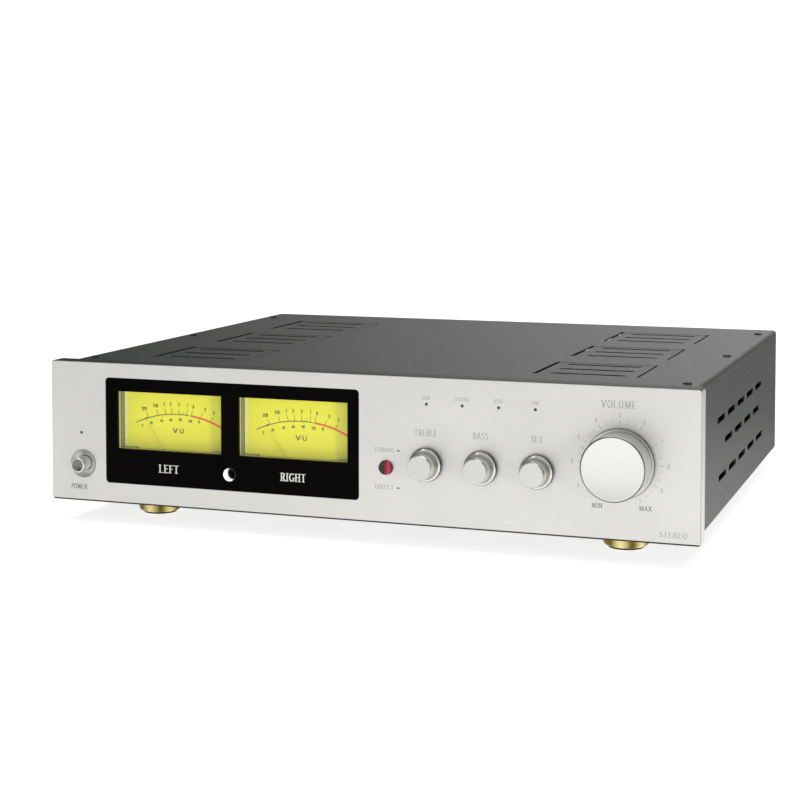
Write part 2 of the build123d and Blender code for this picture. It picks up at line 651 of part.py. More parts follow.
VOLUME_REACH = 21.0
KNOB_DISH = 0.8
KNOB_FLAT_R = 1.0
with BuildPart() as volume_knob:
    with BuildSketch(turning_plane(VOLUME_X, BOTTOM + VOLUME_Z)):
        with BuildLine():
            Polyline(
                (SHAFT_R + 0.02, FRONT - KNOB_GAP),
                (20.7, FRONT - KNOB_GAP),
                (21.0, FRONT - KNOB_GAP - 0.4),
                (21.0, FRONT - 2.9),
                (20.7, FRONT - 3.2),
                (19.1, FRONT - 3.2),
                (19.1, FRONT - 4.0),
                (19.5, FRONT - 4.2),
                (19.5, FRONT - 20.4),
                (18.9, FRONT - VOLUME_REACH),
                (18.2, FRONT - VOLUME_REACH),
            )
            TangentArc(
                (KNOB_FLAT_R, FRONT - VOLUME_REACH + KNOB_DISH), (18.2, FRONT - VOLUME_REACH), tangent=(1, 0)
            )
            Polyline(
                (KNOB_FLAT_R, FRONT - VOLUME_REACH + KNOB_DISH),
                (0, FRONT - VOLUME_REACH + KNOB_DISH),
                (0, FRONT - 16.5),
                (SHAFT_R + 0.02, FRONT - 16.5),
                (SHAFT_R + 0.02, FRONT - KNOB_GAP),
            )
        make_face()
    revolve(axis=turning_axis(VOLUME_X, BOTTOM + VOLUME_Z))
save(volume_knob, "volume_knob")

treble_shaft = control_shaft(SMALL_KNOB_X[0], SMALL_KNOB_Z, 14.5)
save(treble_shaft, "treble_shaft")
bass_shaft = control_shaft(SMALL_KNOB_X[1], SMALL_KNOB_Z, 14.5)
save(bass_shaft, "bass_shaft")
selector_shaft = control_shaft(SMALL_KNOB_X[2], SMALL_KNOB_Z, 14.5)
save(selector_shaft, "selector_shaft")
volume_shaft = control_shaft(VOLUME_X, VOLUME_Z, VOLUME_REACH)
save(volume_shaft, "volume_shaft")

tone_pots = control_body([(x, SMALL_KNOB_Z) for x in SMALL_KNOB_X[:2]], 8.5)
save(tone_pots, "tone_pots")
selector_switch = control_body([(SMALL_KNOB_X[2], SMALL_KNOB_Z)], 10.5)
save(selector_switch, "selector_switch")
volume_pot = control_body([(VOLUME_X, VOLUME_Z)], 12.5)
save(volume_pot, "volume_pot")

with BuildPart() as control_nuts:
    with BuildSketch(facing_front(PANEL_BACK)):
        with Locations(*[on_panel(x, SMALL_KNOB_Z) for x in SMALL_KNOB_X], on_panel(VOLUME_X, VOLUME_Z)):
            RegularPolygon(radius=5.2, side_count=6, major_radius=False)
            Circle(BUSHING_R + RUNNING, mode=Mode.SUBTRACT)
    extrude(amount=2.2)
save(control_nuts, "control_nuts")

# ---------------------------------------------------------------- push buttons and their switches
POWER_BACK = PLATE_BACK + 3.0
POWER_SWITCH_BACK = PLATE_BACK + 30.0
with BuildPart() as power_button:
    with BuildSketch(facing_front(POWER_BACK)):
        with Locations(on_panel(POWER_X, POWER_Z)):
            Circle(POWER_R)
    extrude(amount=POWER_BACK - FRONT + POWER_REACH)
    chamfer(power_button.faces().sort_by(Axis.Y)[0].edges(), 0.4)
    with Locations((POWER_X, FRONT - POWER_REACH - 16.0, BOTTOM + POWER_Z)):
        Sphere(16.5, mode=Mode.SUBTRACT)
    with BuildSketch(facing_front(POWER_BACK + 6.0)):
        with Locations(on_panel(POWER_X, POWER_Z)):
            Circle(2.0)
    extrude(amount=6.0)
save(power_button, "power_button")

with BuildPart() as power_switch:
    with BuildSketch(facing_front(POWER_SWITCH_BACK)):
        with Locations(on_panel(POWER_X, POWER_Z)):
            Rectangle(15.0, 15.0)
    extrude(amount=POWER_SWITCH_BACK - PLATE_BACK)
    with BuildSketch(facing_front(POWER_BACK + POWER_TRAVEL + 1.0)):
        with Locations(on_panel(POWER_X, POWER_Z)):
            Circle(POWER_R + 0.7)
    extrude(amount=20.0, mode=Mode.SUBTRACT)
    with BuildSketch(facing_front(POWER_SWITCH_BACK - 8.0)):
        with Locations(on_panel(POWER_X, POWER_Z)):
            Circle(2.4)
    extrude(amount=20.0, mode=Mode.SUBTRACT)
    with BuildSketch(facing_front(POWER_SWITCH_BACK + 5.0)):
        with Locations(on_panel(POWER_X, POWER_Z)):
            with GridLocations(8.0, 8.0, 2, 2):
                Rectangle(2.0, 0.8)
    extrude(amount=5.0)
save(power_switch, "power_switch")

TONE_BACK = PLATE_BACK + 2.5
with BuildPart() as tone_button:
    with BuildSketch(facing_front(TONE_BACK)):
        with Locations(on_panel(TONE_X, TONE_Z)):
            Circle(TONE_R)
    extrude(amount=TONE_BACK - FRONT + TONE_REACH)
    fillet(tone_button.faces().sort_by(Axis.Y)[0].edges(), 0.6)
    with BuildSketch(facing_front(TONE_BACK + 3.5)):
        with Locations(on_panel(TONE_X, TONE_Z)):
            Circle(1.5)
    extrude(amount=3.5)
save(tone_button, "tone_button")

with BuildPart() as tone_switch:
    with BuildSketch(facing_front(POT_BACK)):
        with Locations(on_panel(TONE_X, TONE_Z)):
            Rectangle(13.0, 13.0)
    extrude(amount=POT_BACK - PLATE_BACK)
    with BuildSketch(facing_front(TONE_BACK + TONE_TRAVEL + 0.7)):
        with Locations(on_panel(TONE_X, TONE_Z)):
            Circle(TONE_R + 0.5)
    extrude(amount=10.0, mode=Mode.SUBTRACT)
    with BuildSketch(facing_front(POT_BACK - 0.8)):
        with Locations(on_panel(TONE_X, TONE_Z)):
            Circle(1.9)
    extrude(amount=10.0, mode=Mode.SUBTRACT)
save(tone_switch, "tone_switch")

# ---------------------------------------------------------------- headphone socket
RING_BACK = BEZEL_Y + 6.3
with BuildPart() as headphone_ring:
    with BuildSketch(facing_front(RING_BACK)):
        with Locations(on_panel(JACK_X, JACK_Z)):
            Circle(4.45)
            Circle(4.1, mode=Mode.SUBTRACT)
    extrude(amount=RING_BACK - BEZEL_Y)
save(headphone_ring, "headphone_ring")

JACK_LENGTH = 23.0
JACK_BORE = 17.0
with BuildPart() as headphone_jack:
    with BuildSketch(facing_front(RING_BACK + JACK_LENGTH)):
        with Locations(on_panel(JACK_X, JACK_Z)):
            Rectangle(13.0, 14.0)
    extrude(amount=JACK_LENGTH)
    with BuildSketch(facing_front(RING_BACK + JACK_BORE)):
        with Locations(on_panel(JACK_X, JACK_Z)):
            Circle(JACK_BORE_R)
    extrude(amount=JACK_BORE, mode=Mode.SUBTRACT)
save(headphone_jack, "headphone_jack")

# ---------------------------------------------------------------- indicator lamps and tone board
with BuildPart() as indicator_leds:
    with BuildSketch(facing_front(PLATE_BACK)):
        with Locations(*[on_panel(x, LED_Z) for x in LED_X], on_panel(POWER_LED_X, POWER_LED_Z)):
            Circle(LED_R)
    extrude(amount=PLATE_BACK - FRONT)
    with BuildSketch(facing_front(POT_BACK)):
        with Locations(*[on_panel(x, LED_Z) for x in LED_X], on_panel(POWER_LED_X, POWER_LED_Z)):
            Rectangle(4.0, 4.0)
    extrude(amount=POT_BACK - PLATE_BACK)
save(indicator_leds, "indicator_leds")

with BuildPart() as tone_board:
    with BuildSketch(facing_front(POT_BACK + BOARD_T)):
        with Locations(on_panel(104.0, 46.0)):
            Rectangle(188.0, 68.0)
    extrude(amount=BOARD_T)
    with BuildSketch(facing_front(POT_BACK + BOARD_T + 6.0)):
        with Locations(on_panel(104.0, 46.0)):
            with GridLocations(34.0, 44.0, 5, 2):
                Circle(3.2)
    extrude(amount=6.0)
save(tone_board, "tone_board")

# ---------------------------------------------------------------- transformer
with BuildPart() as transformer:
    with BuildSketch(Plane(origin=(TOROID_X, TOROID_Y, 0), x_dir=(1, 0, 0), z_dir=(0, -1, 0))):
        with Locations(((TOROID_IN + TOROID_OUT) / 2, FLOOR_TOP + PAD_T + TOROID_H / 2)):
            RectangleRounded(TOROID_OUT - TOROID_IN, TOROID_H, 9.0)
    revolve(axis=Axis((TOROID_X, TOROID_Y, 0), (0, 0, 1)))
save(transformer, "transformer")

with BuildPart() as transformer_pads:
    with BuildSketch(Plane.XY.offset(FLOOR_TOP)):
        with Locations((TOROID_X, TOROID_Y)):
            Circle(50.0)
            Circle(6.0, mode=Mode.SUBTRACT)
    extrude(amount=PAD_T)
    with BuildSketch(Plane.XY.offset(FLOOR_TOP + PAD_T + TOROID_H)):
        with Locations((TOROID_X, TOROID_Y)):
            Circle(44.0)
            Circle(6.0, mode=Mode.SUBTRACT)
    extrude(amount=2.0)
save(transformer_pads, "transformer_pads")

CLAMP_Z = FLOOR_TOP + PAD_T + TOROID_H + 2.0
with BuildPart() as transformer_clamp:
    with BuildSketch(Plane.XY.offset(CLAMP_Z)):
        with Locations((TOROID_X, TOROID_Y)):
            Circle(40.0)
    extrude(amount=2.0)
    chamfer(transformer_clamp.faces().sort_by(Axis.Z)[-1].edges(), 1.2)
    with BuildSketch(Plane.XY.offset(CLAMP_Z + 2.0)):
        with Locations((TOROID_X, TOROID_Y)):
            RegularPolygon(radius=6.5, side_count=6, major_radius=False)
    extrude(amount=5.3)
    with BuildSketch(Plane.XY.offset(BOTTOM)):
        with Locations((TOROID_X, TOROID_Y)):
            Circle(TOROID_BOLT_R)
    extrude(amount=CLAMP_Z - BOTTOM)
save(transformer_clamp, "transformer_clamp")

# ---------------------------------------------------------------- amplifier board
with BuildPart() as board_standoffs:
    with BuildSketch(Plane.XY.offset(FLOOR_TOP)):
        with Locations(*BOARD_HOLES):
            RegularPolygon(radius=3.2, side_count=6)
    extrude(amount=STANDOFF_H)
    with BuildSketch(Plane.XY.offset(BOARD_Z)):
        with Locations(*BOARD_HOLES):
            Circle(M3_R)
    extrude(amount=-6.0, mode=Mode.SUBTRACT)
save(board_standoffs, "board_standoffs")

with BuildPart() as main_board:
    with BuildSketch(Plane.XY.offset(BOARD_Z)):
        with Locations((sum(BOARD_X) / 2, sum(BOARD_Y) / 2)):
            Rectangle(BOARD_X[1] - BOARD_X[0], BOARD_Y[1] - BOARD_Y[0])
        with Locations(*BOARD_HOLES):
            Circle(M3_R + 0.1, mode=Mode.SUBTRACT)
    extrude(amount=BOARD_T)
    # relay, rectifier bridge and a row of driver parts
    with BuildSketch(Plane.XY.offset(BOARD_TOP)):
        with Locations((78.0, 122.0)):
            Rectangle(28.0, 16.0)
    extrude(amount=20.0)
    with BuildSketch(Plane.XY.offset(BOARD_TOP)):
        with Locations((-28.0, -60.0)):
            Rectangle(8.0, 30.0)
        with Locations((70.0, 20.0)):
            with GridLocations(14.0, 24.0, 2, 5):
                Rectangle(9.0, 5.0)
    extrude(amount=12.0)
save(main_board, "main_board")

CAP_R, CAP_H = 15.0, 45.0
with BuildPart() as filter_capacitors:
    with BuildSketch(Plane.XY.offset(BOARD_TOP)):
        with Locations((5.0, 0.0)):
            with GridLocations(36.0, 36.0, 2, 2):
                Circle(CAP_R)
    extrude(amount=CAP_H)
    fillet(filter_capacitors.faces().group_by(Axis.Z)[-1].edges(), 1.5)
save(filter_capacitors, "filter_capacitors")

with BuildPart() as heatsink:
    with BuildSketch(Plane.XY.offset(FLOOR_TOP)):
        with Locations((SINK_X[0] + SINK_BASE_T / 2, sum(SINK_Y) / 2)):
            Rectangle(SINK_BASE_T, SINK_Y[1] - SINK_Y[0])
        with Locations((sum(SINK_X) / 2, sum(SINK_Y) / 2)):
            with GridLocations(0.0, FIN_PITCH, 1, 19):
                Rectangle(SINK_X[1] - SINK_X[0], FIN_T)
    extrude(amount=SINK_TOP - FLOOR_TOP)
save(heatsink, "heatsink")

with BuildPart() as output_transistors:
    for y in (-40.0, 2.0, 48.0, 90.0):
        with BuildSketch(Plane.XY.offset(44.0)):
            with Locations((SINK_X[0] - 2.5, y)):
                Rectangle(5.0, 15.6)
        extrude(amount=20.0)
        with BuildSketch(Plane.XY.offset(BOARD_TOP)):
            with Locations((SINK_X[0] - 2.5, y)):
                with GridLocations(0.0, 5.4, 1, 3):
                    Rectangle(0.7, 1.2)
        extrude(amount=44.0 - BOARD_TOP)
save(output_transistors, "output_transistors")

# ---------------------------------------------------------------- mains inlet with its fuse drawer
SOCKET_Z = INLET_Z + 9.0
DRAWER_Z = INLET_Z - 13.5
FLANGE_Y = REAR_OUT + 2.5
SOCKET_FLOOR = FLANGE_Y - 16.0
DRAWER_W, DRAWER_H = 20.0, 8.6
DRAWER_LENGTH = 20.0
with BuildPart() as iec_inlet:
    with BuildSketch(facing_front(FLANGE_Y)):
        with Locations((INLET_X, INLET_Z)):
            RectangleRounded(INLET_W + 3.4, INLET_H + 4.0, 2.0)
    extrude(amount=FLANGE_Y - REAR_OUT)
    with BuildSketch(facing_front(REAR_OUT)):
        with Locations((INLET_X, INLET_Z)):
            Rectangle(INLET_W, INLET_H)
    extrude(amount=22.0)
    with BuildSketch(facing_front(FLANGE_Y)) as socket_mouth:
        with Locations((INLET_X, SOCKET_Z)):
            Rectangle(23.6, 16.4)
        chamfer(socket_mouth.vertices().group_by(Axis.Y)[-1], 4.5)
    extrude(amount=FLANGE_Y - SOCKET_FLOOR, mode=Mode.SUBTRACT)
    with BuildSketch(facing_front(FLANGE_Y)):
        with Locations((INLET_X, DRAWER_Z)):
            Rectangle(DRAWER_W + 0.6, DRAWER_H + 0.6)
    extrude(amount=DRAWER_LENGTH + 0.5, mode=Mode.SUBTRACT)
save(iec_inlet, "iec_inlet")

with BuildPart() as inlet_pins:
    with BuildSketch(facing_front(SOCKET_FLOOR + 10.5)):
        with Locations((INLET_X - 7.0, SOCKET_Z - 2.0), (INLET_X + 7.0, SOCKET_Z - 2.0), (INLET_X, SOCKET_Z + 2.0)):
            Rectangle(2.0, 4.0)
    extrude(amount=10.5)
save(inlet_pins, "inlet_pins")

with BuildPart() as fuse_drawer:
    with BuildSketch(facing_front(FLANGE_Y)):
        with Locations((INLET_X, DRAWER_Z)):
            Rectangle(DRAWER_W, DRAWER_H)
    extrude(amount=DRAWER_LENGTH)
    with BuildSketch(facing_front(FLANGE_Y + 1.4)):
        with Locations((INLET_X, DRAWER_Z)):
            RectangleRounded(DRAWER_W + 3.0, DRAWER_H + 2.6, 1.0)
    extrude(amount=1.4)
    # trough that holds the fuse, and a finger notch in the lip
    with BuildSketch(Plane.XY.offset(DRAWER_Z + DRAWER_H / 2)):
        with Locations((INLET_X, FLANGE_Y - 11.0)):
            Rectangle(14.0, 15.0)
    extrude(amount=-6.0, mode=Mode.SUBTRACT)
    with BuildSketch(facing_front(FLANGE_Y + 1.4)):
        with Locations((INLET_X, DRAWER_Z + DRAWER_H / 2 + 0.6)):
            Rectangle(7.0, 1.6)
    extrude(amount=0.9, mode=Mode.SUBTRACT)
save(fuse_drawer, "fuse_drawer")

# ---------------------------------------------------------------- phono sockets
RCA_PLACES = [(x, z) for x in RCA_X for z in RCA_Z]
RCA_MID = (sum(RCA_X) / len(RCA_X), sum(RCA_Z) / 2)
BOSS_Y = REAR_OUT + 1.0
SLEEVE_TIP = BOSS_Y + 9.0
with BuildPart() as rca_block:
    with BuildSketch(facing_front(REAR_IN)):
        with Locations(RCA_MID):
            Rectangle(96.0, 38.0)
    extrude(amount=12.0)
    with BuildSketch(facing_front(BOSS_Y)):
        with Locations(*RCA_PLACES):
            Circle(5.8)
    extrude(amount=BOSS_Y - REAR_IN)
    with BuildSketch(facing_front(SLEEVE_TIP - 1.0)):
        with Locations(*RCA_PLACES):
            Circle(3.4)
    extrude(amount=SLEEVE_TIP - 1.0 - BOSS_Y)
    with BuildSketch(facing_front(SLEEVE_TIP)):
        with Locations(*RCA_PLACES):
            Circle(1.65)
    extrude(amount=SLEEVE_TIP - REAR_IN, mode=Mode.SUBTRACT)
save(rca_block, "rca_block")

with BuildPart() as rca_sleeves:
    with BuildSketch(facing_front(SLEEVE_TIP)):
        with Locations(*RCA_PLACES):
            Circle(RCA_R)
            Circle(3.42, mode=Mode.SUBTRACT)
    extrude(amount=SLEEVE_TIP - BOSS_Y)
save(rca_sleeves, "rca_sleeves")

# ---------------------------------------------------------------- speaker binding posts
COLLAR_Y = REAR_OUT + 2.8
POST_TIP = POST_CAP_Y[1] - 1.0
with BuildPart() as post_collars:
    with BuildSketch(facing_front(COLLAR_Y)):
        with Locations(*[(x, POST_Z) for x in POST_X]):
            Circle(8.0)
    extrude(amount=COLLAR_Y - REAR_OUT)
    with BuildSketch(facing_front(REAR_OUT)):
        with Locations(*[(x, POST_Z) for x in POST_X]):
            Circle(5.1)
    extrude(amount=PLATE_T)
    with BuildSketch(facing_front(REAR_IN)):
        with Locations(*[(x, POST_Z) for x in POST_X]):
            Circle(8.0)
    extrude(amount=2.5)
    with BuildSketch(facing_front(COLLAR_Y)):
        with Locations(*[(x, POST_Z) for x in POST_X]):
            Circle(POST_R + 0.02)
    extrude(amount=10.0, mode=Mode.SUBTRACT)
save(post_collars, "post_collars")

with BuildPart() as speaker_posts:
    with BuildSketch(facing_front(POST_TIP)):
        with Locations(*[(x, POST_Z) for x in POST_X]):
            Circle(POST_R)
    extrude(amount=POST_TIP - REAR_IN + 12.0)
    with BuildSketch(facing_front(REAR_IN - 2.5)):
        with Locations(*[(x, POST_Z) for x in POST_X]):
            RegularPolygon(radius=5.0, side_count=6, major_radius=False)
    extrude(amount=3.0)
    with BuildSketch(facing_front(POST_TIP)):
        with Locations(*[(x, POST_Z) for x in POST_X]):
            Circle(BANANA_R)
    extrude(amount=16.0, mode=Mode.SUBTRACT)
save(speaker_posts, "speaker_posts")


def post_cap(x):
    """Fluted plastic cap that turns on its post."""
    with BuildPart() as cap:
        with BuildSketch(facing_front(POST_CAP_Y[1])):
            with Locations((x, POST_Z)):
                Circle(POST_CAP_R)
                with PolarLocations(POST_CAP_R + 0.9, 12):
                    Circle(1.5, mode=Mode.SUBTRACT)
        extrude(amount=POST_CAP_Y[1] - POST_CAP_Y[0])
        with BuildSketch(facing_front(POST_CAP_Y[0] + 2.0)):
            with Locations((x, POST_Z)):
                Circle(POST_CAP_R - 0.2)
        extrude(amount=2.0)
        with BuildSketch(facing_front(POST_CAP_Y[1])):
            with Locations((x, POST_Z)):
                Circle(POST_R + RUNNING)
        extrude(amount=POST_CAP_Y[1] - POST_CAP_Y[0], mode=Mode.SUBTRACT)
    return cap


for number, x in enumerate(POST_X, start=1):
    save(post_cap(x), f"post_cap_{number}")

# ---------------------------------------------------------------- feet
FOOT_PLACES = [(x, y) for x in (-FOOT_X, FOOT_X) for y in (-FOOT_Y, FOOT_Y)]
PAD_H = 3.0
with BuildPart() as foot_shells:
    for x, y in FOOT_PLACES:
        with BuildSketch(Plane(origin=(x, y, 0), x_dir=(1, 0, 0), z_dir=(0, -1, 0))):
            with BuildLine():
                Polyline((FOOT_PAD_R + 0.05, 11.4), (FOOT_PAD_R + 0.05, 1.2), (FOOT_R - 3.0, 1.2))
                ThreePointArc((FOOT_R - 3.0, 1.2), (FOOT_R - 1.0, 2.0), (FOOT_R - 0.2, 4.0))
                Polyline((FOOT_R - 0.2, 4.0), (FOOT_R, 11.4), (FOOT_PAD_R + 0.05, 11.4))
            make_face()
        revolve(axis=Axis((x, y, 0), (0, 0, 1)))
save(foot_shells, "foot_shells")

with BuildPart() as foot_bases:
    with BuildSketch(Plane.XY.offset(11.4)):
        with Locations(*FOOT_PLACES):
            Circle(FOOT_FLANGE_R)
    extrude(amount=BOTTOM - 11.4)
    with BuildSketch(Plane.XY.offset(PAD_H)):
        with Locations(*FOOT_PLACES):
            Circle(FOOT_PAD_R)
    extrude(amount=11.4 - PAD_H)
    with BuildSketch(Plane.XY.offset(PAD_H)):
        with Locations(*FOOT_PLACES):
            Circle(2.1)
    extrude(amount=BOTTOM, mode=Mode.SUBTRACT)
    with BuildSketch(Plane.XY.offset(PAD_H)):
        with Locations(*FOOT_PLACES):
            Circle(4.4)
    extrude(amount=4.0, mode=Mode.SUBTRACT)
save(foot_bases, "foot_bases")

with BuildPart() as foot_pads:
    with BuildSketch(Plane.XY):
        with Locations(*FOOT_PLACES):
            Circle(FOOT_PAD_R)
            Circle(4.4, mode=Mode.SUBTRACT)
    extrude(amount=PAD_H)
save(foot_pads, "foot_pads")

with BuildPart() as foot_screws:
    with BuildSketch(Plane.XY.offset(7.0)):
        with Locations(*FOOT_PLACES):
            Circle(2.0)
    extrude(amount=12.0)
    with BuildSketch(Plane.XY.offset(4.6)):
        with Locations(*FOOT_PLACES):
            Circle(3.8)
    extrude(amount=2.4)
save(foot_screws, "foot_screws")
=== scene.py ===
"""Looks of the stereo amplifier: finishes, printed lettering, meter scales, camera and light."""
import json
import math

import bpy
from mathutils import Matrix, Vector
from mathutils.geometry import convex_hull_2d, delaunay_2d_cdt


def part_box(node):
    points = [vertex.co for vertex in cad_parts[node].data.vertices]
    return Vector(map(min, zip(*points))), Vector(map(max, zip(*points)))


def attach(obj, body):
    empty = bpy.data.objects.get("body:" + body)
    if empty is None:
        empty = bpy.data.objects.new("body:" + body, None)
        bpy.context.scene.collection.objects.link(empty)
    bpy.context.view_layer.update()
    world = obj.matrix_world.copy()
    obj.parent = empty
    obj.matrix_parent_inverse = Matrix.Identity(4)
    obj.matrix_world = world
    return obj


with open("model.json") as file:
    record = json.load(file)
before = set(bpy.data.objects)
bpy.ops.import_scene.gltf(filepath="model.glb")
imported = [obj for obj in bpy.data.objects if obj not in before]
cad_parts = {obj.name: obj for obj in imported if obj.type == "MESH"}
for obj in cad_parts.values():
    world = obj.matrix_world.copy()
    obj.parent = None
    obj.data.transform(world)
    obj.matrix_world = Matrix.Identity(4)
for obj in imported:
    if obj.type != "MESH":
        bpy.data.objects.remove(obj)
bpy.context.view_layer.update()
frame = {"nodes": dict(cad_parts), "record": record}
nodes = frame["nodes"]
MM = 0.001


# ---------------------------------------------------------------- places read from the frame
def middle(node):
    """Centre of a CAD node's box."""
    low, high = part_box(node)
    return (low + high) / 2


def islands(node):
    """Boxes of the separate solids of a CAD node, from left to right and then from low to high."""
    mesh = nodes[node].data
    parent = list(range(len(mesh.vertices)))

    def root(i):
        while parent[i] != i:
            parent[i] = parent[parent[i]]
            i = parent[i]
        return i

    first_at = {}
    for vertex in mesh.vertices:
        key = tuple(round(c, 6) for c in vertex.co)
        parent[root(vertex.index)] = root(first_at.setdefault(key, vertex.index))
    for edge in mesh.edges:
        parent[root(edge.vertices[0])] = root(edge.vertices[1])
    groups = {}
    for vertex in mesh.vertices:
        groups.setdefault(root(vertex.index), []).append(vertex.co)
    boxes = []
    for group in groups.values():
        low = Vector([min(place[i] for place in group) for i in range(3)])
        high = Vector([max(place[i] for place in group) for i in range(3)])
        boxes.append((low, high))
    return sorted(boxes, key=lambda box: (round(box[0].x, 3), round(box[0].z, 3)))


FACE_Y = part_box("front_panel")[0].y
FACE_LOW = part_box("front_panel")[0].z
BEZEL_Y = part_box("meter_bezel")[0].y
REAR_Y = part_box("rear_panel")[1].y
METERS = {side: middle(f"meter_dial_{side}") for side in ("left", "right")}
DIAL_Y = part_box("meter_dial_left")[0].y
WINDOW_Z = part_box("meter_dial_left")[1].z - 18.9 * MM  # mid-height of the meter windows


# ---------------------------------------------------------------- finishes
class Finish:
    """One procedural material: its Principled shader and the nodes that drive it."""

    def __init__(self, name):
        self.material = bpy.data.materials.new(name)
        self.material.use_nodes = True
        self.tree = self.material.node_tree
        self.shader = self.tree.nodes["Principled BSDF"]
        self.places = self.add("ShaderNodeTexCoord")

    def add(self, kind, **values):
        node = self.tree.nodes.new(kind)
        for name, value in values.items():
            setattr(node, name, value)
        return node

    def link(self, source, target):
        self.tree.links.new(source, target)

    def set(self, **values):
        """Constants on the shader's own sockets."""
        for name, value in values.items():
            self.shader.inputs[name.replace("_", " ")].default_value = value

    def per(self, size_mm):
        """Coordinates on the object, counted in steps of size_mm."""
        mapping = self.add("ShaderNodeMapping")
        mapping.inputs["Scale"].default_value = [1.0 / (size_mm * MM)] * 3
        self.link(self.places.outputs["Object"], mapping.inputs["Vector"])
        return mapping.outputs["Vector"]

    def noise(self, size_mm, detail=2.0):
        """Noise whose features are about size_mm wide."""
        node = self.add("ShaderNodeTexNoise")
        node.inputs["Scale"].default_value = 1.0
        node.inputs["Detail"].default_value = detail
        self.link(self.per(size_mm), node.inputs["Vector"])
        return node.outputs["Fac"]

    def ramp(self, fac, stops):
        """Colour ramp over fac; stops are (place, colour)."""
        node = self.add("ShaderNodeValToRGB")
        elements = node.color_ramp.elements
        elements[0].position, elements[0].color = stops[0][0], (*stops[0][1], 1)
        elements[1].position, elements[1].color = stops[-1][0], (*stops[-1][1], 1)
        for place, colour in stops[1:-1]:
            elements.new(place).color = (*colour, 1)
        self.link(fac, node.inputs["Fac"])
        return node.outputs["Color"]

    def spread(self, fac, low, high):
        """fac from 0.3..0.7 spread over low..high."""
        node = self.add("ShaderNodeMapRange")
        node.inputs["From Min"].default_value = 0.3
        node.inputs["From Max"].default_value = 0.7
        node.inputs["To Min"].default_value = low
        node.inputs["To Max"].default_value = high
        self.link(fac, node.inputs["Value"])
        return node.outputs["Result"]

    def math(self, operation, *values):
        """Math node; a value is a number or a socket."""
        node = self.add("ShaderNodeMath", operation=operation)
        for socket, value in zip(node.inputs, values):
            if isinstance(value, (int, float)):
                socket.default_value = value
            else:
                self.link(value, socket)
        return node.outputs["Value"]

    def axes(self, source):
        """X, Y and Z of a vector socket."""
        split = self.add("ShaderNodeSeparateXYZ")
        self.link(source, split.inputs["Vector"])
        return split.outputs

    def between(self, value, low, high):
        """0 at low, 1 at high, clamped outside them."""
        node = self.add("ShaderNodeMapRange")
        node.inputs["From Min"].default_value = low
        node.inputs["From Max"].default_value = high
        self.link(value, node.inputs["Value"])
        return node.outputs["Result"]

    def radius(self, place, x, z):
        """Distance from the point x, z, seen from the front."""
        across, up = self.math("SUBTRACT", place["X"], x), self.math("SUBTRACT", place["Z"], z)
        squares = self.math("ADD", self.math("MULTIPLY", across, across), self.math("MULTIPLY", up, up))
        return self.math("SQRT", squares)

    def slopes(self):
        """How far the surface faces along each axis, 0 to 1."""
        normal = self.axes(self.add("ShaderNodeNewGeometry").outputs["Normal"])
        return [self.math("ABSOLUTE", normal[axis]) for axis in "XYZ"]

    def mixed(self, fac, first, second):
        """Mix of a colour socket and a plain colour."""
        node = self.add("ShaderNodeMix", data_type="RGBA")
        self.link(fac, node.inputs["Factor"])
        self.link(first, node.inputs[6])
        node.inputs[7].default_value = (*second, 1)
        return node.outputs[2]

    def colour(self, socket):
        self.link(socket, self.shader.inputs["Base Color"])

    def rough(self, socket):
        self.link(socket, self.shader.inputs["Roughness"])

    def bump(self, fac, height_mm, strength=1.0):
        node = self.add("ShaderNodeBump")
        node.inputs["Strength"].default_value = strength
        node.inputs["Distance"].default_value = height_mm * MM
        self.link(fac, node.inputs["Height"])
        self.link(node.outputs["Normal"], self.shader.inputs["Normal"])


def plain(name, colour, rough, spread=0.06, size_mm=14.0, grain_mm=0.5, grain_high=0.006, metal=0.0,
          **sockets):
    """Moulded, painted or plated stuff: faint clouds of shade, uneven gloss and a fine grain."""
    finish = Finish(name)
    dark = tuple(c * (1 - spread) for c in colour)
    light = tuple(min(1.0, c * (1 + spread)) for c in colour)
    finish.colour(finish.ramp(finish.noise(size_mm), [(0.35, dark), (0.65, light)]))
    finish.rough(finish.spread(finish.noise(size_mm * 0.6, 4.0), rough * 0.85, rough * 1.15))
    finish.bump(finish.noise(grain_mm, 3.0), grain_high)
    finish.set(Metallic=metal, **sockets)
    return finish.material


def faceplate():
    """Silver anodised aluminium, blasted with fine beads; painted shade on its level faces, lowest strip and
    rounded edges.
    """
    finish = Finish("faceplate")
    grain = finish.noise(0.30, 5.0)
    clouds = finish.noise(45.0, 2.0)
    both = finish.math("ADD", finish.math("MULTIPLY", grain, 0.7), finish.math("MULTIPLY", clouds, 0.3))
    silver = finish.ramp(both, [(0.36, (0.70, 0.695, 0.665)), (0.64, (0.80, 0.795, 0.765))])
    across, ahead, up = finish.slopes()
    # painted shade: level faces, the lowest strip and rounded edges are turned near black
    level = finish.between(up, 0.35, 0.80)
    painted_lower_edge_shade = finish.between(finish.axes(finish.places.outputs["Generated"])["Z"], 0.014, 0.010)
    corner = finish.math("MAXIMUM", finish.math("MAXIMUM", across, ahead), up)
    painted_rounded_edge_shade = finish.math("MULTIPLY", finish.between(corner, 0.87, 0.78), 0.75)
    dark = finish.math("MAXIMUM", finish.math("MAXIMUM", level, painted_lower_edge_shade), painted_rounded_edge_shade)
    finish.colour(finish.mixed(dark, silver, (0.022, 0.023, 0.020)))
    finish.rough(finish.spread(finish.noise(0.5, 3.0), 0.40, 0.50))
    finish.bump(grain, 0.010)
    finish.set(Metallic=0.78)
    return finish.material


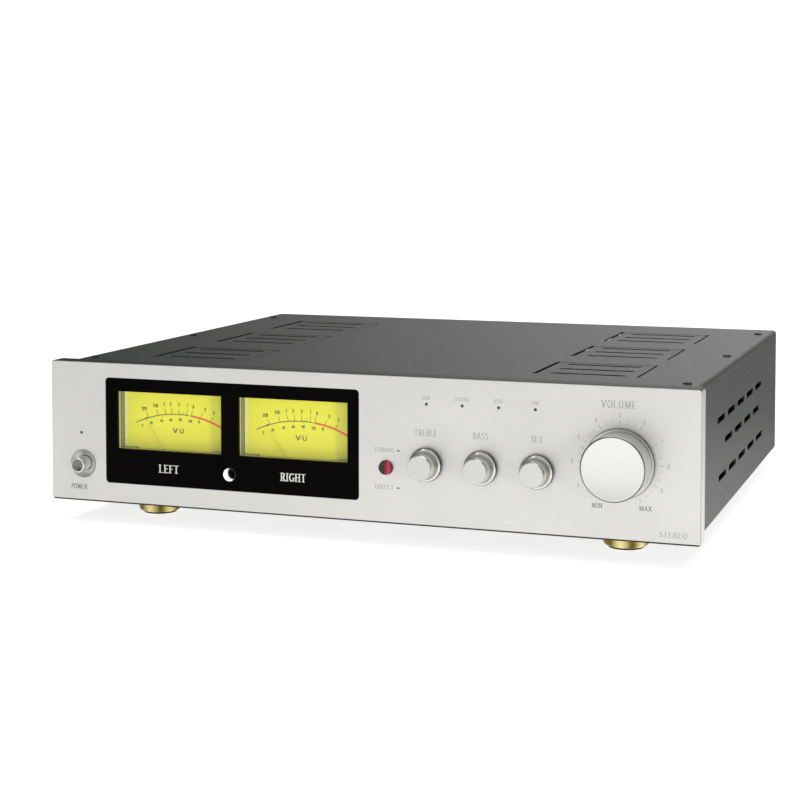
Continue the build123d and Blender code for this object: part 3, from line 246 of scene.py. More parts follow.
def turned(name, tones_and_painted_reflections, rough, groove_mm=0.18, strength=0.6):
    """Lathe-turned metal, fine rings about its own middle; rings of tone and painted reflection, given as
    (radius, shade) outwards to 0.5.
    """
    finish = Finish(name)
    place = finish.axes(finish.places.outputs["Generated"])
    radius = finish.radius(place, 0.5, 0.5)
    along = finish.math("ADD", radius, finish.math("MULTIPLY", place["Y"], 0.7))
    rings = finish.add("ShaderNodeTexNoise", noise_dimensions="1D")
    rings.inputs["Scale"].default_value = 21.0 / groove_mm
    rings.inputs["Detail"].default_value = 3.0
    finish.link(along, rings.inputs["W"])
    # painted reflections and painted shade: each ring's shade is set here over the metal's tone
    shade = finish.ramp(radius, [(r, (v, v, v * 0.965)) for r, v in tones_and_painted_reflections])
    glint = finish.add("ShaderNodeMix", data_type="RGBA", blend_type="MULTIPLY")
    glint.inputs["Factor"].default_value = 1.0
    finish.link(shade, glint.inputs[6])
    gleam = finish.ramp(rings.outputs["Fac"], [(0.3, (0.93, 0.93, 0.93)), (0.7, (1, 1, 1))])
    finish.link(gleam, glint.inputs[7])
    finish.colour(glint.outputs[2])
    finish.rough(finish.spread(rings.outputs["Fac"], rough * 0.8, rough * 1.25))
    finish.bump(rings.outputs["Fac"], 0.006, strength)
    finish.set(Metallic=1.0)
    return finish.material


def powder_coat():
    """Satin black powder coat with its fine orange peel."""
    finish = Finish("black_steel")
    finish.colour(finish.ramp(finish.noise(60.0), [
        (0.35, (0.019, 0.023, 0.018)), (0.65, (0.024, 0.028, 0.023))]))
    finish.rough(finish.spread(finish.noise(3.0, 3.0), 0.34, 0.42))
    finish.bump(finish.noise(0.9, 2.0), 0.008)
    finish.set(Specular_IOR_Level=0.26)
    return finish.material


def plated():
    """Zinc-plated steel with its crystalline shimmer."""
    finish = Finish("plated_steel")
    cells = finish.add("ShaderNodeTexVoronoi")
    cells.inputs["Scale"].default_value = 1.0
    finish.link(finish.per(2.4), cells.inputs["Vector"])
    finish.colour(finish.ramp(cells.outputs["Distance"], [
        (0.0, (0.50, 0.51, 0.52)), (0.9, (0.66, 0.67, 0.67))]))
    finish.rough(finish.spread(finish.noise(5.0, 3.0), 0.28, 0.42))
    finish.bump(finish.noise(0.6, 2.0), 0.006)
    finish.set(Metallic=1.0)
    return finish.material


def gloss_black():
    """Piano-black bezel: deep black with a faint long-wave ripple in its gloss."""
    finish = Finish("black_gloss")
    finish.colour(finish.ramp(finish.noise(30.0), [
        (0.3, (0.0010, 0.0007, 0.0008)), (0.7, (0.0018, 0.0012, 0.0014))]))
    finish.rough(finish.spread(finish.noise(12.0), 0.06, 0.11))
    finish.bump(finish.noise(18.0, 1.0), 0.010)
    finish.set(Specular_IOR_Level=0.025)
    return finish.material


def clear_pane():
    """Clear acrylic window."""
    finish = Finish("clear_pane")
    finish.colour(finish.ramp(finish.noise(20.0), [(0.3, (0.92, 0.94, 0.90)), (0.7, (0.97, 0.98, 0.95))]))
    finish.rough(finish.spread(finish.noise(8.0), 0.02, 0.05))
    finish.set(Alpha=0.05, Specular_IOR_Level=0.4)
    return finish.material


def dial_card(name, x):
    """Yellow translucent scale card lit from behind, glowing by painted emission, with painted light at its
    left edge and painted shade low down.
    """
    finish = Finish(name)
    place = finish.axes(finish.places.outputs["Object"])
    # painted light: the card is paler towards its left edge
    painted_edge_light = finish.between(place["X"], x - 33.5 * MM, x - 37.0 * MM)
    pulp = finish.spread(finish.noise(6.0, 3.0), -0.04, 0.04)
    card = finish.ramp(finish.math("ADD", painted_edge_light, pulp), [
        (0.0, (0.73, 0.70, 0.004)), (0.5, (0.77, 0.75, 0.05)), (1.0, (0.84, 0.84, 0.26))])
    # painted shade: the card darkens towards its bottom
    low = finish.between(place["Z"], WINDOW_Z - 12.0 * MM, WINDOW_Z - 18.0 * MM)
    shade = finish.mixed(finish.math("MULTIPLY", low, 0.4), card, (0.46, 0.46, 0.008))
    finish.colour(shade)
    # painted glow: the card's colour is also its emission
    finish.link(shade, finish.shader.inputs["Emission Color"])
    finish.rough(finish.spread(finish.noise(1.2, 2.0), 0.42, 0.55))
    finish.bump(finish.noise(0.4, 3.0), 0.004)
    finish.set(Emission_Strength=0.22, Specular_IOR_Level=0.1)
    return finish.material


def board():
    """Green solder resist over copper, with a faint grid of tracks."""
    finish = Finish("circuit_board")
    tracks = finish.add("ShaderNodeTexBrick")
    tracks.inputs["Scale"].default_value = 1.0
    tracks.inputs["Color1"].default_value = (0.020, 0.125, 0.045, 1)
    tracks.inputs["Color2"].default_value = (0.028, 0.150, 0.055, 1)
    tracks.inputs["Mortar"].default_value = (0.040, 0.210, 0.080, 1)
    tracks.inputs["Mortar Size"].default_value = 0.05
    finish.link(finish.per(9.0), tracks.inputs["Vector"])
    finish.colour(tracks.outputs["Color"])
    finish.rough(finish.spread(finish.noise(4.0, 3.0), 0.28, 0.40))
    finish.bump(tracks.outputs["Fac"], 0.05)
    return finish.material


def winding():
    """Transformer tape: overlapping amber turns over copper."""
    finish = Finish("winding")
    turns = finish.add("ShaderNodeTexWave", wave_type="RINGS", rings_direction="Z")
    turns.inputs["Scale"].default_value = 60.0
    turns.inputs["Distortion"].default_value = 0.6
    finish.link(finish.places.outputs["Object"], turns.inputs["Vector"])
    finish.colour(finish.ramp(turns.outputs["Fac"], [
        (0.1, (0.30, 0.13, 0.020)), (0.9, (0.50, 0.25, 0.045))]))
    finish.rough(finish.spread(finish.noise(6.0, 3.0), 0.30, 0.45))
    finish.bump(turns.outputs["Fac"], 0.15)
    return finish.material


def red_lens():
    """Red button with painted shade nearly black on its left, crimson with a painted highlight towards the
    right, darker again at its right edge.
    """
    finish = Finish("red_button")
    across = finish.axes(finish.places.outputs["Generated"])["X"]
    cloud = finish.math("MULTIPLY", finish.math("SUBTRACT", finish.noise(1.2, 3.0), 0.5), 0.12)
    # painted shade near black on the left, painted highlight towards the right
    finish.colour(finish.ramp(finish.math("ADD", across, cloud), [
        (0.42, (0.030, 0.026, 0.012)), (0.58, (0.26, 0.010, 0.024)), (0.78, (0.55, 0.035, 0.090)),
        (0.98, (0.10, 0.008, 0.014))]))
    finish.rough(finish.spread(finish.noise(2.0), 0.14, 0.24))
    finish.bump(finish.noise(1.5, 2.0), 0.004)
    finish.set(Specular_IOR_Level=0.25)
    return finish.material


def meter_case():
    """Inside of a meter: pale rim, dark step, olive wall, dark band at the scale; rim and wall are painted
    light, all of it glowing by painted emission.
    """
    finish = Finish("meter_case")
    depth = finish.between(finish.axes(finish.places.outputs["Object"])["Y"], BEZEL_Y, DIAL_Y)
    cloud = finish.math("MULTIPLY", finish.math("SUBTRACT", finish.noise(3.0), 0.5), 0.05)
    # painted highlight on the pale rim and painted light on the olive wall, banded by depth
    shade = finish.ramp(finish.math("ADD", depth, cloud), [
        (0.00, (0.50, 0.52, 0.20)), (0.47, (0.50, 0.52, 0.20)), (0.52, (0.035, 0.035, 0.010)),
        (0.60, (0.035, 0.035, 0.010)), (0.66, (0.17, 0.17, 0.050)), (0.86, (0.17, 0.17, 0.050)),
        (0.92, (0.020, 0.020, 0.003)), (1.00, (0.020, 0.020, 0.003))])
    finish.colour(shade)
    # painted glow: the case's colour is also its emission
    finish.link(shade, finish.shader.inputs["Emission Color"])
    finish.rough(finish.spread(finish.noise(4.0, 3.0), 0.35, 0.45))
    finish.bump(finish.noise(0.5, 3.0), 0.005)
    finish.set(Emission_Strength=0.15)
    return finish.material


def socket_ring():
    """Headphone socket's ring: pale wall inside the socket, glowing by painted emission; dull and dark where
    it faces forward.
    """
    finish = Finish("socket_ring")
    place = finish.axes(finish.places.outputs["Object"])
    centre = middle("headphone_ring")
    radius = finish.radius(place, centre.x, centre.z)
    wall = finish.between(finish.slopes()[1], 0.7, 0.3)
    # painted glow: the pale inner wall is lit by its own emission
    painted_glow_wall = finish.math("MULTIPLY", finish.between(radius, 4.40 * MM, 4.30 * MM), wall)
    body = finish.ramp(finish.noise(4.0), [(0.3, (0.016, 0.016, 0.017)), (0.7, (0.026, 0.026, 0.026))])
    finish.colour(finish.mixed(painted_glow_wall, body, (0.80, 0.80, 0.78)))
    finish.rough(finish.spread(finish.noise(3.0, 3.0), 0.28, 0.40))
    finish.bump(finish.noise(0.5, 3.0), 0.004)
    finish.link(finish.math("MULTIPLY", painted_glow_wall, 0.55), finish.shader.inputs["Emission Strength"])
    finish.set(Emission_Color=(1, 1, 0.98, 1))
    return finish.material


def foot_gold():
    """Polished gold shells with painted highlights: bright stripes down the side at fixed angles, and
    painted shade over their tops under the cabinet.
    """
    finish = Finish("foot_gold")
    place = finish.axes(finish.places.outputs["Object"])
    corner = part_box("foot_shells")[1]
    low, high = islands("foot_shells")[0]
    radius = (high.x - low.x) / 2
    half_x, half_y = corner.x - radius, corner.y - radius
    across = finish.math("WRAP", finish.math("SUBTRACT", place["X"], half_x), half_x, -half_x)
    ahead = finish.math("WRAP", finish.math("SUBTRACT", place["Y"], half_y), half_y, -half_y)
    angle = finish.math("ARCTAN2", across, finish.math("MULTIPLY", ahead, -1.0))
    wobble = finish.math("MULTIPLY", finish.math("SUBTRACT", finish.noise(3.0, 3.0), 0.5), 0.10)
    turn = finish.between(finish.math("ADD", angle, wobble), -math.pi, math.pi)
    # painted highlights: bright glint stripes at fixed angles round each foot, painted shade between them
    painted_dusk_shade, gold, glint = (0.20, 0.14, 0.010), (0.46, 0.34, 0.030), (1.0, 0.86, 0.40)
    painted_highlight_stripes = [(0.0, gold)]
    for degrees, half in ((-120, 12), (-2, 13), (54, 11), (130, 12)):
        at, reach = (degrees + 180) / 360, half / 360
        steps = (-2, painted_dusk_shade), (-0.3, glint), (0.3, glint), (2, painted_dusk_shade)
        painted_highlight_stripes += [(at + reach * step, shade) for step, shade in steps]
    painted_highlight_stripes.append((1.0, gold))
    shade = finish.ramp(turn, painted_highlight_stripes)
    # painted shade: the top of each foot is darkened
    top = finish.between(finish.axes(finish.places.outputs["Generated"])["Z"], 0.70, 0.95)
    finish.colour(finish.mixed(top, shade, (0.05, 0.04, 0.008)))
    finish.rough(finish.spread(finish.noise(5.0), 0.14, 0.22))
    finish.bump(finish.noise(0.4, 2.0), 0.002)
    finish.set(Metallic=1.0)
    return finish.material


# shades of the turned parts from the middle outwards: face, edge line, waist or side, lip; the dark and
# bright rings and the button's dark face are painted reflections and painted shade over the metal's tone
VOLUME_TONES_AND_PAINTED_REFLECTIONS = [(0.0, 0.82), (0.440, 0.80), (0.447, 0.10), (0.459, 0.10), (0.462, 0.74), (0.489, 0.74),
                (0.4945, 0.12), (0.5, 0.10)]
SMALL_KNOB_TONES_AND_PAINTED_REFLECTIONS = [(0.0, 0.62), (0.345, 0.62), (0.362, 0.78), (0.385, 0.40), (0.415, 0.45), (0.440, 0.85),
               (0.475, 0.70), (0.488, 0.10), (0.5, 0.08)]
BUTTON_TONES_AND_PAINTED_REFLECTIONS = [(0.0, 0.20), (0.25, 0.22), (0.40, 0.22), (0.43, 0.80), (0.46, 0.85), (0.5, 0.85)]
OWN_FINISHES = {
    "headphone_ring": socket_ring(),
    "foot_shells": foot_gold(),
    "power_button": turned("power_button", BUTTON_TONES_AND_PAINTED_REFLECTIONS, 0.20, strength=0.3),
}
FINISHES = {
    "black_steel": powder_coat(),
    "plated_steel": plated(),
    "faceplate": faceplate(),
    "black_gloss": gloss_black(),
    "clear_pane": clear_pane(),
    "meter_case": meter_case(),
    # painted glow: the needle glows by emission like the lit scale behind it
    "needle": plain("needle", (0.66, 0.56, 0.01), 0.5, size_mm=5.0, Emission_Color=(0.66, 0.56, 0.01, 1),
                    Emission_Strength=0.22, Specular_IOR_Level=0.1),
    "magnet": plain("magnet", (0.20, 0.20, 0.21), 0.45, metal=0.8),
    "circuit_board": board(),
    "knob": turned("knob", VOLUME_TONES_AND_PAINTED_REFLECTIONS, 0.30),
    "bright_knob": turned("bright_knob", SMALL_KNOB_TONES_AND_PAINTED_REFLECTIONS, 0.14, strength=0.08),
    "red_button": red_lens(),
    "black_plastic": plain("black_plastic", (0.016, 0.016, 0.017), 0.42),
    "lamp": plain("lamp", (0.045, 0.045, 0.040), 0.15, size_mm=2.0),
    "chrome": plain("chrome", (0.82, 0.82, 0.81), 0.10, spread=0.03, metal=1.0, grain_high=0.002),
    "winding": winding(),
    "rubber": plain("rubber", (0.018, 0.018, 0.018), 0.75, grain_mm=0.3, grain_high=0.02),
    "capacitor": plain("capacitor", (0.022, 0.028, 0.070), 0.30, metal=0.2),
    "bare_aluminium": plain("bare_aluminium", (0.64, 0.65, 0.66), 0.36, metal=1.0),
    "gold": plain("gold", (0.62, 0.46, 0.045), 0.13, spread=0.05, metal=1.0, grain_high=0.002),
    "red_cap": plain("red_cap", (0.42, 0.010, 0.012), 0.28),
    "black_cap": plain("black_cap", (0.014, 0.014, 0.015), 0.28),
}
for part in frame["record"]["subparts"]:
    name, slot = part["node"], part["material_slot"]
    finish = OWN_FINISHES.get(name) or FINISHES.get(slot)
    if not finish:
        finish = dial_card(name, METERS[name.rsplit("_", 1)[1]].x)
    for place in nodes[name].material_slots:
        place.material = finish


# ---------------------------------------------------------------- lettering
def arc(x, y, across, up, start, end):
    """Points along an ellipse, angles in degrees from the right, counter-clockwise."""
    steps = max(4, round(abs(end - start) / 15))
    angles = [math.radians(start + (end - start) * i / steps) for i in range(steps + 1)]
    return [(x + across * math.cos(a), y + up * math.sin(a)) for a in angles]


# upright stroke at the left of many signs; both its ends carry serifs
STEM = [(0.13, 0), (0.13, 1)]
# each sign: its width, the strokes of its skeleton, and the ends that carry a serif; capitals are 1 high
SIGNS = {
    "A": (0.74, [[(0.07, 0), (0.37, 1), (0.67, 0)], [(0.18, 0.34), (0.56, 0.34)]], [(0.07, 0), (0.67, 0)]),
    "B": (0.62, [STEM, [(0.13, 1), *arc(0.35, 0.76, 0.19, 0.24, 90, -90), (0.13, 0.52)],
                 [(0.13, 0.52), *arc(0.36, 0.26, 0.21, 0.26, 90, -90), (0.13, 0)]], STEM),
    "C": (0.70, [arc(0.40, 0.5, 0.32, 0.5, 48, 312)], []),
    "D": (0.74, [STEM, [(0.13, 1), *arc(0.33, 0.5, 0.33, 0.5, 90, -90), (0.13, 0)]], STEM),
    "E": (0.62, [STEM, [(0.13, 1), (0.54, 1)], [(0.13, 0.52), (0.46, 0.52)], [(0.13, 0), (0.56, 0)]],
          STEM),
    "F": (0.58, [STEM, [(0.13, 1), (0.54, 1)], [(0.13, 0.52), (0.45, 0.52)]], STEM),
    "G": (0.76, [arc(0.40, 0.5, 0.32, 0.5, 48, 330), [(0.68, 0.42), (0.68, 0.10)]], [(0.66, 0.44)]),
    "H": (0.76, [STEM, [(0.63, 0), (0.63, 1)], [(0.13, 0.52), (0.63, 0.52)]],
          [*STEM, (0.63, 0), (0.63, 1)]),
    "I": (0.30, [[(0.15, 0), (0.15, 1)]], [(0.15, 0), (0.15, 1)]),
    "K": (0.74, [STEM, [(0.13, 0.38), (0.60, 1)], [(0.27, 0.56), (0.64, 0)]],
          [*STEM, (0.60, 1), (0.64, 0)]),
    "L": (0.60, [STEM, [(0.13, 0), (0.55, 0)]], STEM),
    "M": (0.92, [[(0.13, 0), (0.13, 1), (0.46, 0.08), (0.79, 1), (0.79, 0)]],
          [*STEM, (0.79, 0), (0.79, 1)]),
    "N": (0.78, [[(0.13, 0), (0.13, 1), (0.65, 0), (0.65, 1)]], [(0.13, 0), (0.11, 1), (0.65, 1)]),
    "O": (0.80, [arc(0.40, 0.5, 0.32, 0.5, 0, 360)], []),
    "P": (0.60, [STEM, [(0.13, 1), *arc(0.34, 0.74, 0.20, 0.26, 90, -90), (0.13, 0.48)]], STEM),
    "R": (0.70, [STEM, [(0.13, 1), *arc(0.34, 0.75, 0.20, 0.25, 90, -90), (0.13, 0.5)],
                 [(0.34, 0.5), (0.61, 0)]], [*STEM, (0.61, 0)]),
    "S": (0.56, [[*arc(0.28, 0.75, 0.18, 0.25, 40, 270), *arc(0.28, 0.25, 0.20, 0.25, 90, -140)]], []),
    "T": (0.66, [[(0.33, 0), (0.33, 1)], [(0.05, 1), (0.61, 1)]], [(0.33, 0)]),
    "U": (0.76, [[(0.14, 1), *arc(0.38, 0.3, 0.24, 0.3, 180, 360), (0.62, 1)]], [(0.14, 1), (0.62, 1)]),
    "V": (0.72, [[(0.06, 1), (0.36, 0), (0.66, 1)]], [(0.06, 1), (0.66, 1)]),
    "W": (1.00, [[(0.06, 1), (0.28, 0), (0.50, 0.9), (0.72, 0), (0.94, 1)]], [(0.06, 1), (0.94, 1)]),
    "X": (0.72, [[(0.08, 0), (0.64, 1)], [(0.08, 1), (0.64, 0)]],
          [(0.08, 0), (0.64, 0), (0.08, 1), (0.64, 1)]),
    "/": (0.40, [[(0.06, -0.05), (0.34, 1.05)]], []),
    "+": (0.60, [[(0.08, 0.45), (0.52, 0.45)], [(0.30, 0.20), (0.30, 0.70)]], []),
    "-": (0.50, [[(0.08, 0.45), (0.42, 0.45)]], []),
    "%": (0.78, [[(0.16, 0), (0.62, 1)], arc(0.18, 0.76, 0.11, 0.2, 0, 360),
                 arc(0.60, 0.24, 0.11, 0.2, 0, 360)], []),
    " ": (0.40, [], []),
    "0": (0.56, [arc(0.28, 0.5, 0.20, 0.5, 0, 360)], []),
    "1": (0.44, [[(0.10, 0.80), (0.26, 1), (0.26, 0)]], [(0.26, 0)]),
    "2": (0.56, [[*arc(0.27, 0.72, 0.19, 0.28, 165, -35), (0.08, 0), (0.48, 0)]], []),
    "3": (0.56, [[*arc(0.26, 0.75, 0.18, 0.25, 150, -85), *arc(0.26, 0.26, 0.20, 0.26, 85, -150)]], []),
    "4": (0.56, [[(0.40, 0), (0.40, 1), (0.06, 0.30), (0.52, 0.30)]], []),
    "5": (0.56, [[(0.46, 1), (0.15, 1), *arc(0.26, 0.32, 0.20, 0.32, 128, -145)]], []),
    "6": (0.56, [[(0.42, 1), (0.22, 0.78), *arc(0.28, 0.32, 0.20, 0.32, 160, -200)]], []),
    "7": (0.54, [[(0.07, 1), (0.47, 1), (0.22, 0)]], []),
    "8": (0.56, [arc(0.28, 0.76, 0.17, 0.24, 0, 360), arc(0.28, 0.26, 0.20, 0.26, 0, 360)], []),
    "9": (0.56, [[*arc(0.28, 0.68, 0.20, 0.32, -20, 340), (0.34, 0.22), (0.14, 0)]], []),
}
SERIF_HALF = 0.11
SIGN_GAP = {True: 0.14, False: 0.10}  # between signs with serifs, and without


def swept(path, wide, thin):
    """The convex shapes that an upright flat nib covers on its way along a path."""
    shapes = []
    for start, end in zip(path, path[1:]):
        corners = [Vector((x + i * wide / 2, y + j * thin / 2))
                   for x, y in (start, end) for i in (-1, 1) for j in (-1, 1)]
        shapes.append([corners[k] for k in convex_hull_2d(corners)])
    return shapes


def words(text, at, cap_mm, width_mm=None, wide=0.14, thin=0.06, serif=True):
    """Shapes of a line of text centred on at, in capitals cap_mm high, stretched to width_mm if given."""
    cap = cap_mm * MM
    shapes, reach = [], 0.0
    for sign in text:
        advance, strokes, ends = SIGNS[sign]
        marks = list(strokes)
        if serif:
            marks += [[(x - SERIF_HALF, y), (x + SERIF_HALF, y)] for x, y in ends]
        for path in marks:
            shapes += swept([(x + reach, y) for x, y in path], wide, thin)
        reach += advance + SIGN_GAP[serif]
    stretch = width_mm * MM / cap / reach if width_mm else 1.0
    return [
        [Vector((at[0] + (p.x - reach / 2) * cap * stretch, at[1] + (p.y - 0.5) * cap)) for p in shape]
        for shape in shapes
    ]


def stroke(start, end, width):
    """Straight line of print between two points."""
    along = Vector((end[0] - start[0], end[1] - start[1])).normalized()
    across = Vector((-along.y, along.x)) * width / 2
    a, b = Vector(start), Vector(end)
    return [[a - across, b - across, b + across, a + across]]


BAND_STEPS = 48


def band(x, y, inner, outer, start, end):
    """Printed arc of a ring, angles in degrees clockwise from the top."""
    shapes = []
    for i in range(BAND_STEPS):
        a, b = (math.radians(start + (end - start) * k / BAND_STEPS) for k in (i, i + 1))
        corners = (inner, a), (inner, b), (outer, b), (outer, a)
        shapes.append([Vector((x + r * math.sin(t), y + r * math.cos(t))) for r, t in corners])
    return shapes


def around(x, y, radius, angle):
    """Point at that radius and clockwise angle from the top."""
    return x + radius * math.sin(math.radians(angle)), y + radius * math.cos(math.radians(angle))


INK = 0.03 * MM  # how far print stands proud
INK_SUNK = 0.005 * MM  # and how far it reaches into the face it is printed on


def printed(name, shapes, surface_y, finish, facing=-1):
    """Thin ink layer on an upright face: the shapes joined into one outline and given a thickness."""
    corners, faces = [], []
    for shape in shapes:
        area = sum(a.x * b.y - b.x * a.y for a, b in zip(shape, shape[1:] + shape[:1]))
        ordered = shape if area > 0 else shape[::-1]
        faces.append(list(range(len(corners), len(corners) + len(ordered))))
        corners += ordered
    made = delaunay_2d_cdt(corners, [], faces, 0, 1e-7)
    flat = [tuple(face) for face, owners in zip(made[2], made[5]) if owners]
    used = sorted({i for face in flat for i in face})
    place = {old: new for new, old in enumerate(used)}
    flat = [tuple(place[i] for i in face) for face in flat]
    points = [made[0][i] for i in used]
    count = len(points)
    outer, inner = surface_y + facing * INK, surface_y - facing * INK_SUNK
    mirror = -facing
    vertices = [(mirror * p.x, outer, p.y) for p in points] + [(mirror * p.x, inner, p.y) for p in points]
    rims = {(a, b) for face in flat for a, b in zip(face, face[1:] + face[:1])}
    sides = [(b, a, a + count, b + count) for a, b in rims if (b, a) not in rims]
    solid = flat + [tuple(i + count for i in reversed(face)) for face in flat] + sorted(sides)
    mesh = bpy.data.meshes.new(name)
    mesh.from_pydata(vertices, [], solid)
    mesh.validate()
    mesh.materials.append(finish)
    piece = bpy.data.objects.new(name, mesh)
    bpy.context.scene.collection.objects.link(piece)
    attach(piece, "chassis")


def ink(name, colour, rough=0.5, spread=0.08, **sockets):
    """Screen-printed ink, very slightly patchy."""
    return plain(name, colour, rough, spread=spread, size_mm=0.8, grain_mm=0.2, grain_high=0.002, **sockets)


# ---------------------------------------------------------------- faceplate print
PANEL_INK = ink("panel_ink", (0.36, 0.36, 0.34))
STRONG_INK = ink("strong_ink", (0.16, 0.16, 0.15))
DARK_INK = ink("dark_ink", (0.05, 0.05, 0.05))
knob = {name: middle(f"{name}_knob") for name in ("treble", "bass", "selector", "volume")}
tone = middle("tone_button")
power = middle("power_button")
lamps = [(low + high) / 2 for low, high in islands("indicator_leds")]
source_lamps = [lamp for lamp in lamps if lamp.x > 0]
SMALL_LABEL_RISE = 19.5 * MM

panel = []
for name, text, width in (("treble", "TREBLE", 15.0), ("bass", "BASS", 10.2), ("selector", "SET", 7.6)):
    panel += words(text, (knob[name].x - 0.2 * MM, knob[name].z + SMALL_LABEL_RISE), 3.6, width)
for lamp, text, width in zip(source_lamps, ("AUX", "CD/DVD", "VCD", "LINE"), (5.2, 9.6, 5.8, 6.0)):
    panel += words(text, (lamp.x, lamp.z + 4.0 * MM), 2.2, width)
panel += words("VOLUME", (knob["volume"].x - 0.8 * MM, knob["volume"].z + 35.0 * MM), 4.2, 21.5)
strong = words("POWER", (power.x - 3.0 * MM, FACE_LOW + 9.4 * MM), 3.2, 12.0, wide=0.17)
strong += words("MIN", (knob["volume"].x - 13.6 * MM, FACE_LOW + 20.5 * MM), 2.6, 6.8)
strong += words("MAX", (knob["volume"].x + 15.5 * MM, FACE_LOW + 20.5 * MM), 2.6, 7.8)
printed("strong_lettering", strong, FACE_Y, STRONG_INK)
panel += words("STEREO", (199.1 * MM, FACE_LOW + 5.9 * MM), 3.0, 17.0)
TONE_MARK_X = tone.x + 8.0 * MM
for text, rise, width in (("TUNING", 10.7, 13.6), ("DIRECT", -12.4, 12.6)):
    panel += words(text, (TONE_MARK_X - 9.0 * MM, tone.z + (rise + 0.2) * MM), 2.5, width)
printed("panel_lettering", panel, FACE_Y, PANEL_INK)

marks = []
for rise in (10.7, -12.4):
    height = tone.z + rise * MM
    ends = [(TONE_MARK_X - 0.55 * MM, height), (TONE_MARK_X + 0.55 * MM, height)]
    marks += swept(ends, 0.5 * MM, 0.9 * MM)
printed("tone_marks", marks, FACE_Y, DARK_INK)

# volume scale: ten steps of 30 degrees from MIN to MAX, each split in three
SCALE_X, SCALE_Z = knob["volume"].x, knob["volume"].z
MIN_ANGLE = -150
scale = []
for tick in range(31):
    angle = MIN_ANGLE + 10 * tick
    reach = 25.8 if tick % 3 == 0 else 25.2
    inner = around(SCALE_X, SCALE_Z, 23.4 * MM, angle)
    scale += stroke(inner, around(SCALE_X, SCALE_Z, reach * MM, angle), 0.30 * MM)
for number in range(1, 10):
    place = around(SCALE_X, SCALE_Z, 28.9 * MM, MIN_ANGLE + 30 * number)
    scale += words(str(number), place, 2.4, wide=0.15)
printed("volume_scale", scale, FACE_Y, PANEL_INK)

# white lettering on the bezel
WHITE_INK = ink("white_ink", (0.68, 0.68, 0.66))
sides = []
for side, text, shift, width in (("left", "LEFT", 0.3, 14.6), ("right", "RIGHT", 0.8, 17.6)):
    place = (METERS[side].x + shift * MM, FACE_LOW + 24.7 * MM)
    sides += words(text, place, 4.8, width, wide=0.18, thin=0.08)
printed("meter_lettering", sides, BEZEL_Y, WHITE_INK)


# ---------------------------------------------------------------- meter scales
DIAL_INK = ink("dial_ink", (0.050, 0.045, 0.0), Specular_IOR_Level=0.1)
# painted glow: the red print glows by emission like the lit card it is on
RED_INK = ink("red_ink", (0.66, 0.060, 0.0), Emission_Color=(0.66, 0.07, 0.0, 1), Emission_Strength=0.22,
              Specular_IOR_Level=0.1)
ARC_R = 72.0 * MM
ARC_TOP = WINDOW_Z + 3.9 * MM
SCALE_SHIFT = 1.2 * MM  # the scales stand this far right of the dial's middle
TICK_HUB = WINDOW_Z - 29.0 * MM  # the ticks point away from this height
SMALL_PEN = {"wide": 0.20, "thin": 0.20, "serif": False}

# volume units above the arc: text, foot of its tick on the arc, and where the text stands
LEVELS = [
    ("20", -20.9, -24.2, 6.6), ("10", -13.9, -16.0, 8.8), ("7", -8.4, -9.7, 9.9),
    ("5", -4.0, -5.0, 10.3), ("3", 0.8, 0.9, 10.3), ("1", 6.3, 7.0, 10.1),
    ("0", 9.6, 11.4, 9.4), ("2", 16.3, 19.8, 8.0), ("3", 23.1, 26.0, 6.0),
]
# percent of modulation below it: text and where it stands
PERCENTS = [
    ("0", -25.7, -4.7), ("20", -19.2, -2.7), ("40", -11.6, -0.9),
    ("60", -5.0, 0.0), ("80", 2.0, 0.5), ("100", 9.0, -0.1),
]


def meter_scale(side):
    """Both scales, the arc between them and its overload stretch in red."""
    x = METERS[side].x + SCALE_SHIFT
    hub_y = ARC_TOP - ARC_R

    def on_arc(across):
        """Point of the arc that far right of the middle."""
        return x + across, hub_y + math.sqrt(ARC_R ** 2 - across ** 2)

    def outward(across, gap):
        """That point moved along the line from the ticks' hub."""
        foot = Vector(on_arc(across))
        away = (foot - Vector((x, TICK_HUB))).normalized()
        return foot + away * gap * MM

    black, red = [], []
    for left, right, thick, layer in ((-30.7, 8.2, 0.55, black), (9.4, 35.0, 1.2, red)):
        a, b = (math.degrees(math.asin(v * MM / ARC_R)) for v in (left, right))
        layer += band(x, hub_y, ARC_R - thick * MM / 2, ARC_R + thick * MM / 2, a, b)
    for text, foot, across, up in LEVELS:
        black += stroke(outward(foot * MM, 0.1), outward(foot * MM, 3.8), 0.34 * MM)
        width = 3.9 if len(text) > 1 else None
        black += words(text, (x + across * MM, WINDOW_Z + up * MM), 1.9, width, **SMALL_PEN)
    for foot in (3.7, 20.0):
        black += stroke(outward(foot * MM, 0.1), outward(foot * MM, 2.2), 0.24 * MM)
    for text, across, up in PERCENTS:
        black += words(text, (x + across * MM, WINDOW_Z + up * MM), 1.6, **SMALL_PEN)
        black += stroke(outward(across * MM, -0.1), outward(across * MM, -1.2), 0.20 * MM)
    black += words("%", (x + 15.3 * MM, WINDOW_Z - 0.3 * MM), 1.6, **SMALL_PEN)
    black += swept([on_arc(-23.4 * MM), on_arc(-22.2 * MM)], 0.5 * MM, 1.0 * MM)
    for sign, across in (("V", -1.5), ("U", 3.0)):
        place = (x + across * MM, WINDOW_Z - 6.8 * MM)
        black += words(sign, place, 2.9, 4.0, wide=0.14, thin=0.13, serif=False)
    printed(f"meter_scale_{side}", black, DIAL_Y, DIAL_INK)
    printed(f"meter_overload_{side}", red, DIAL_Y, RED_INK)


for side in METERS:
    meter_scale(side)


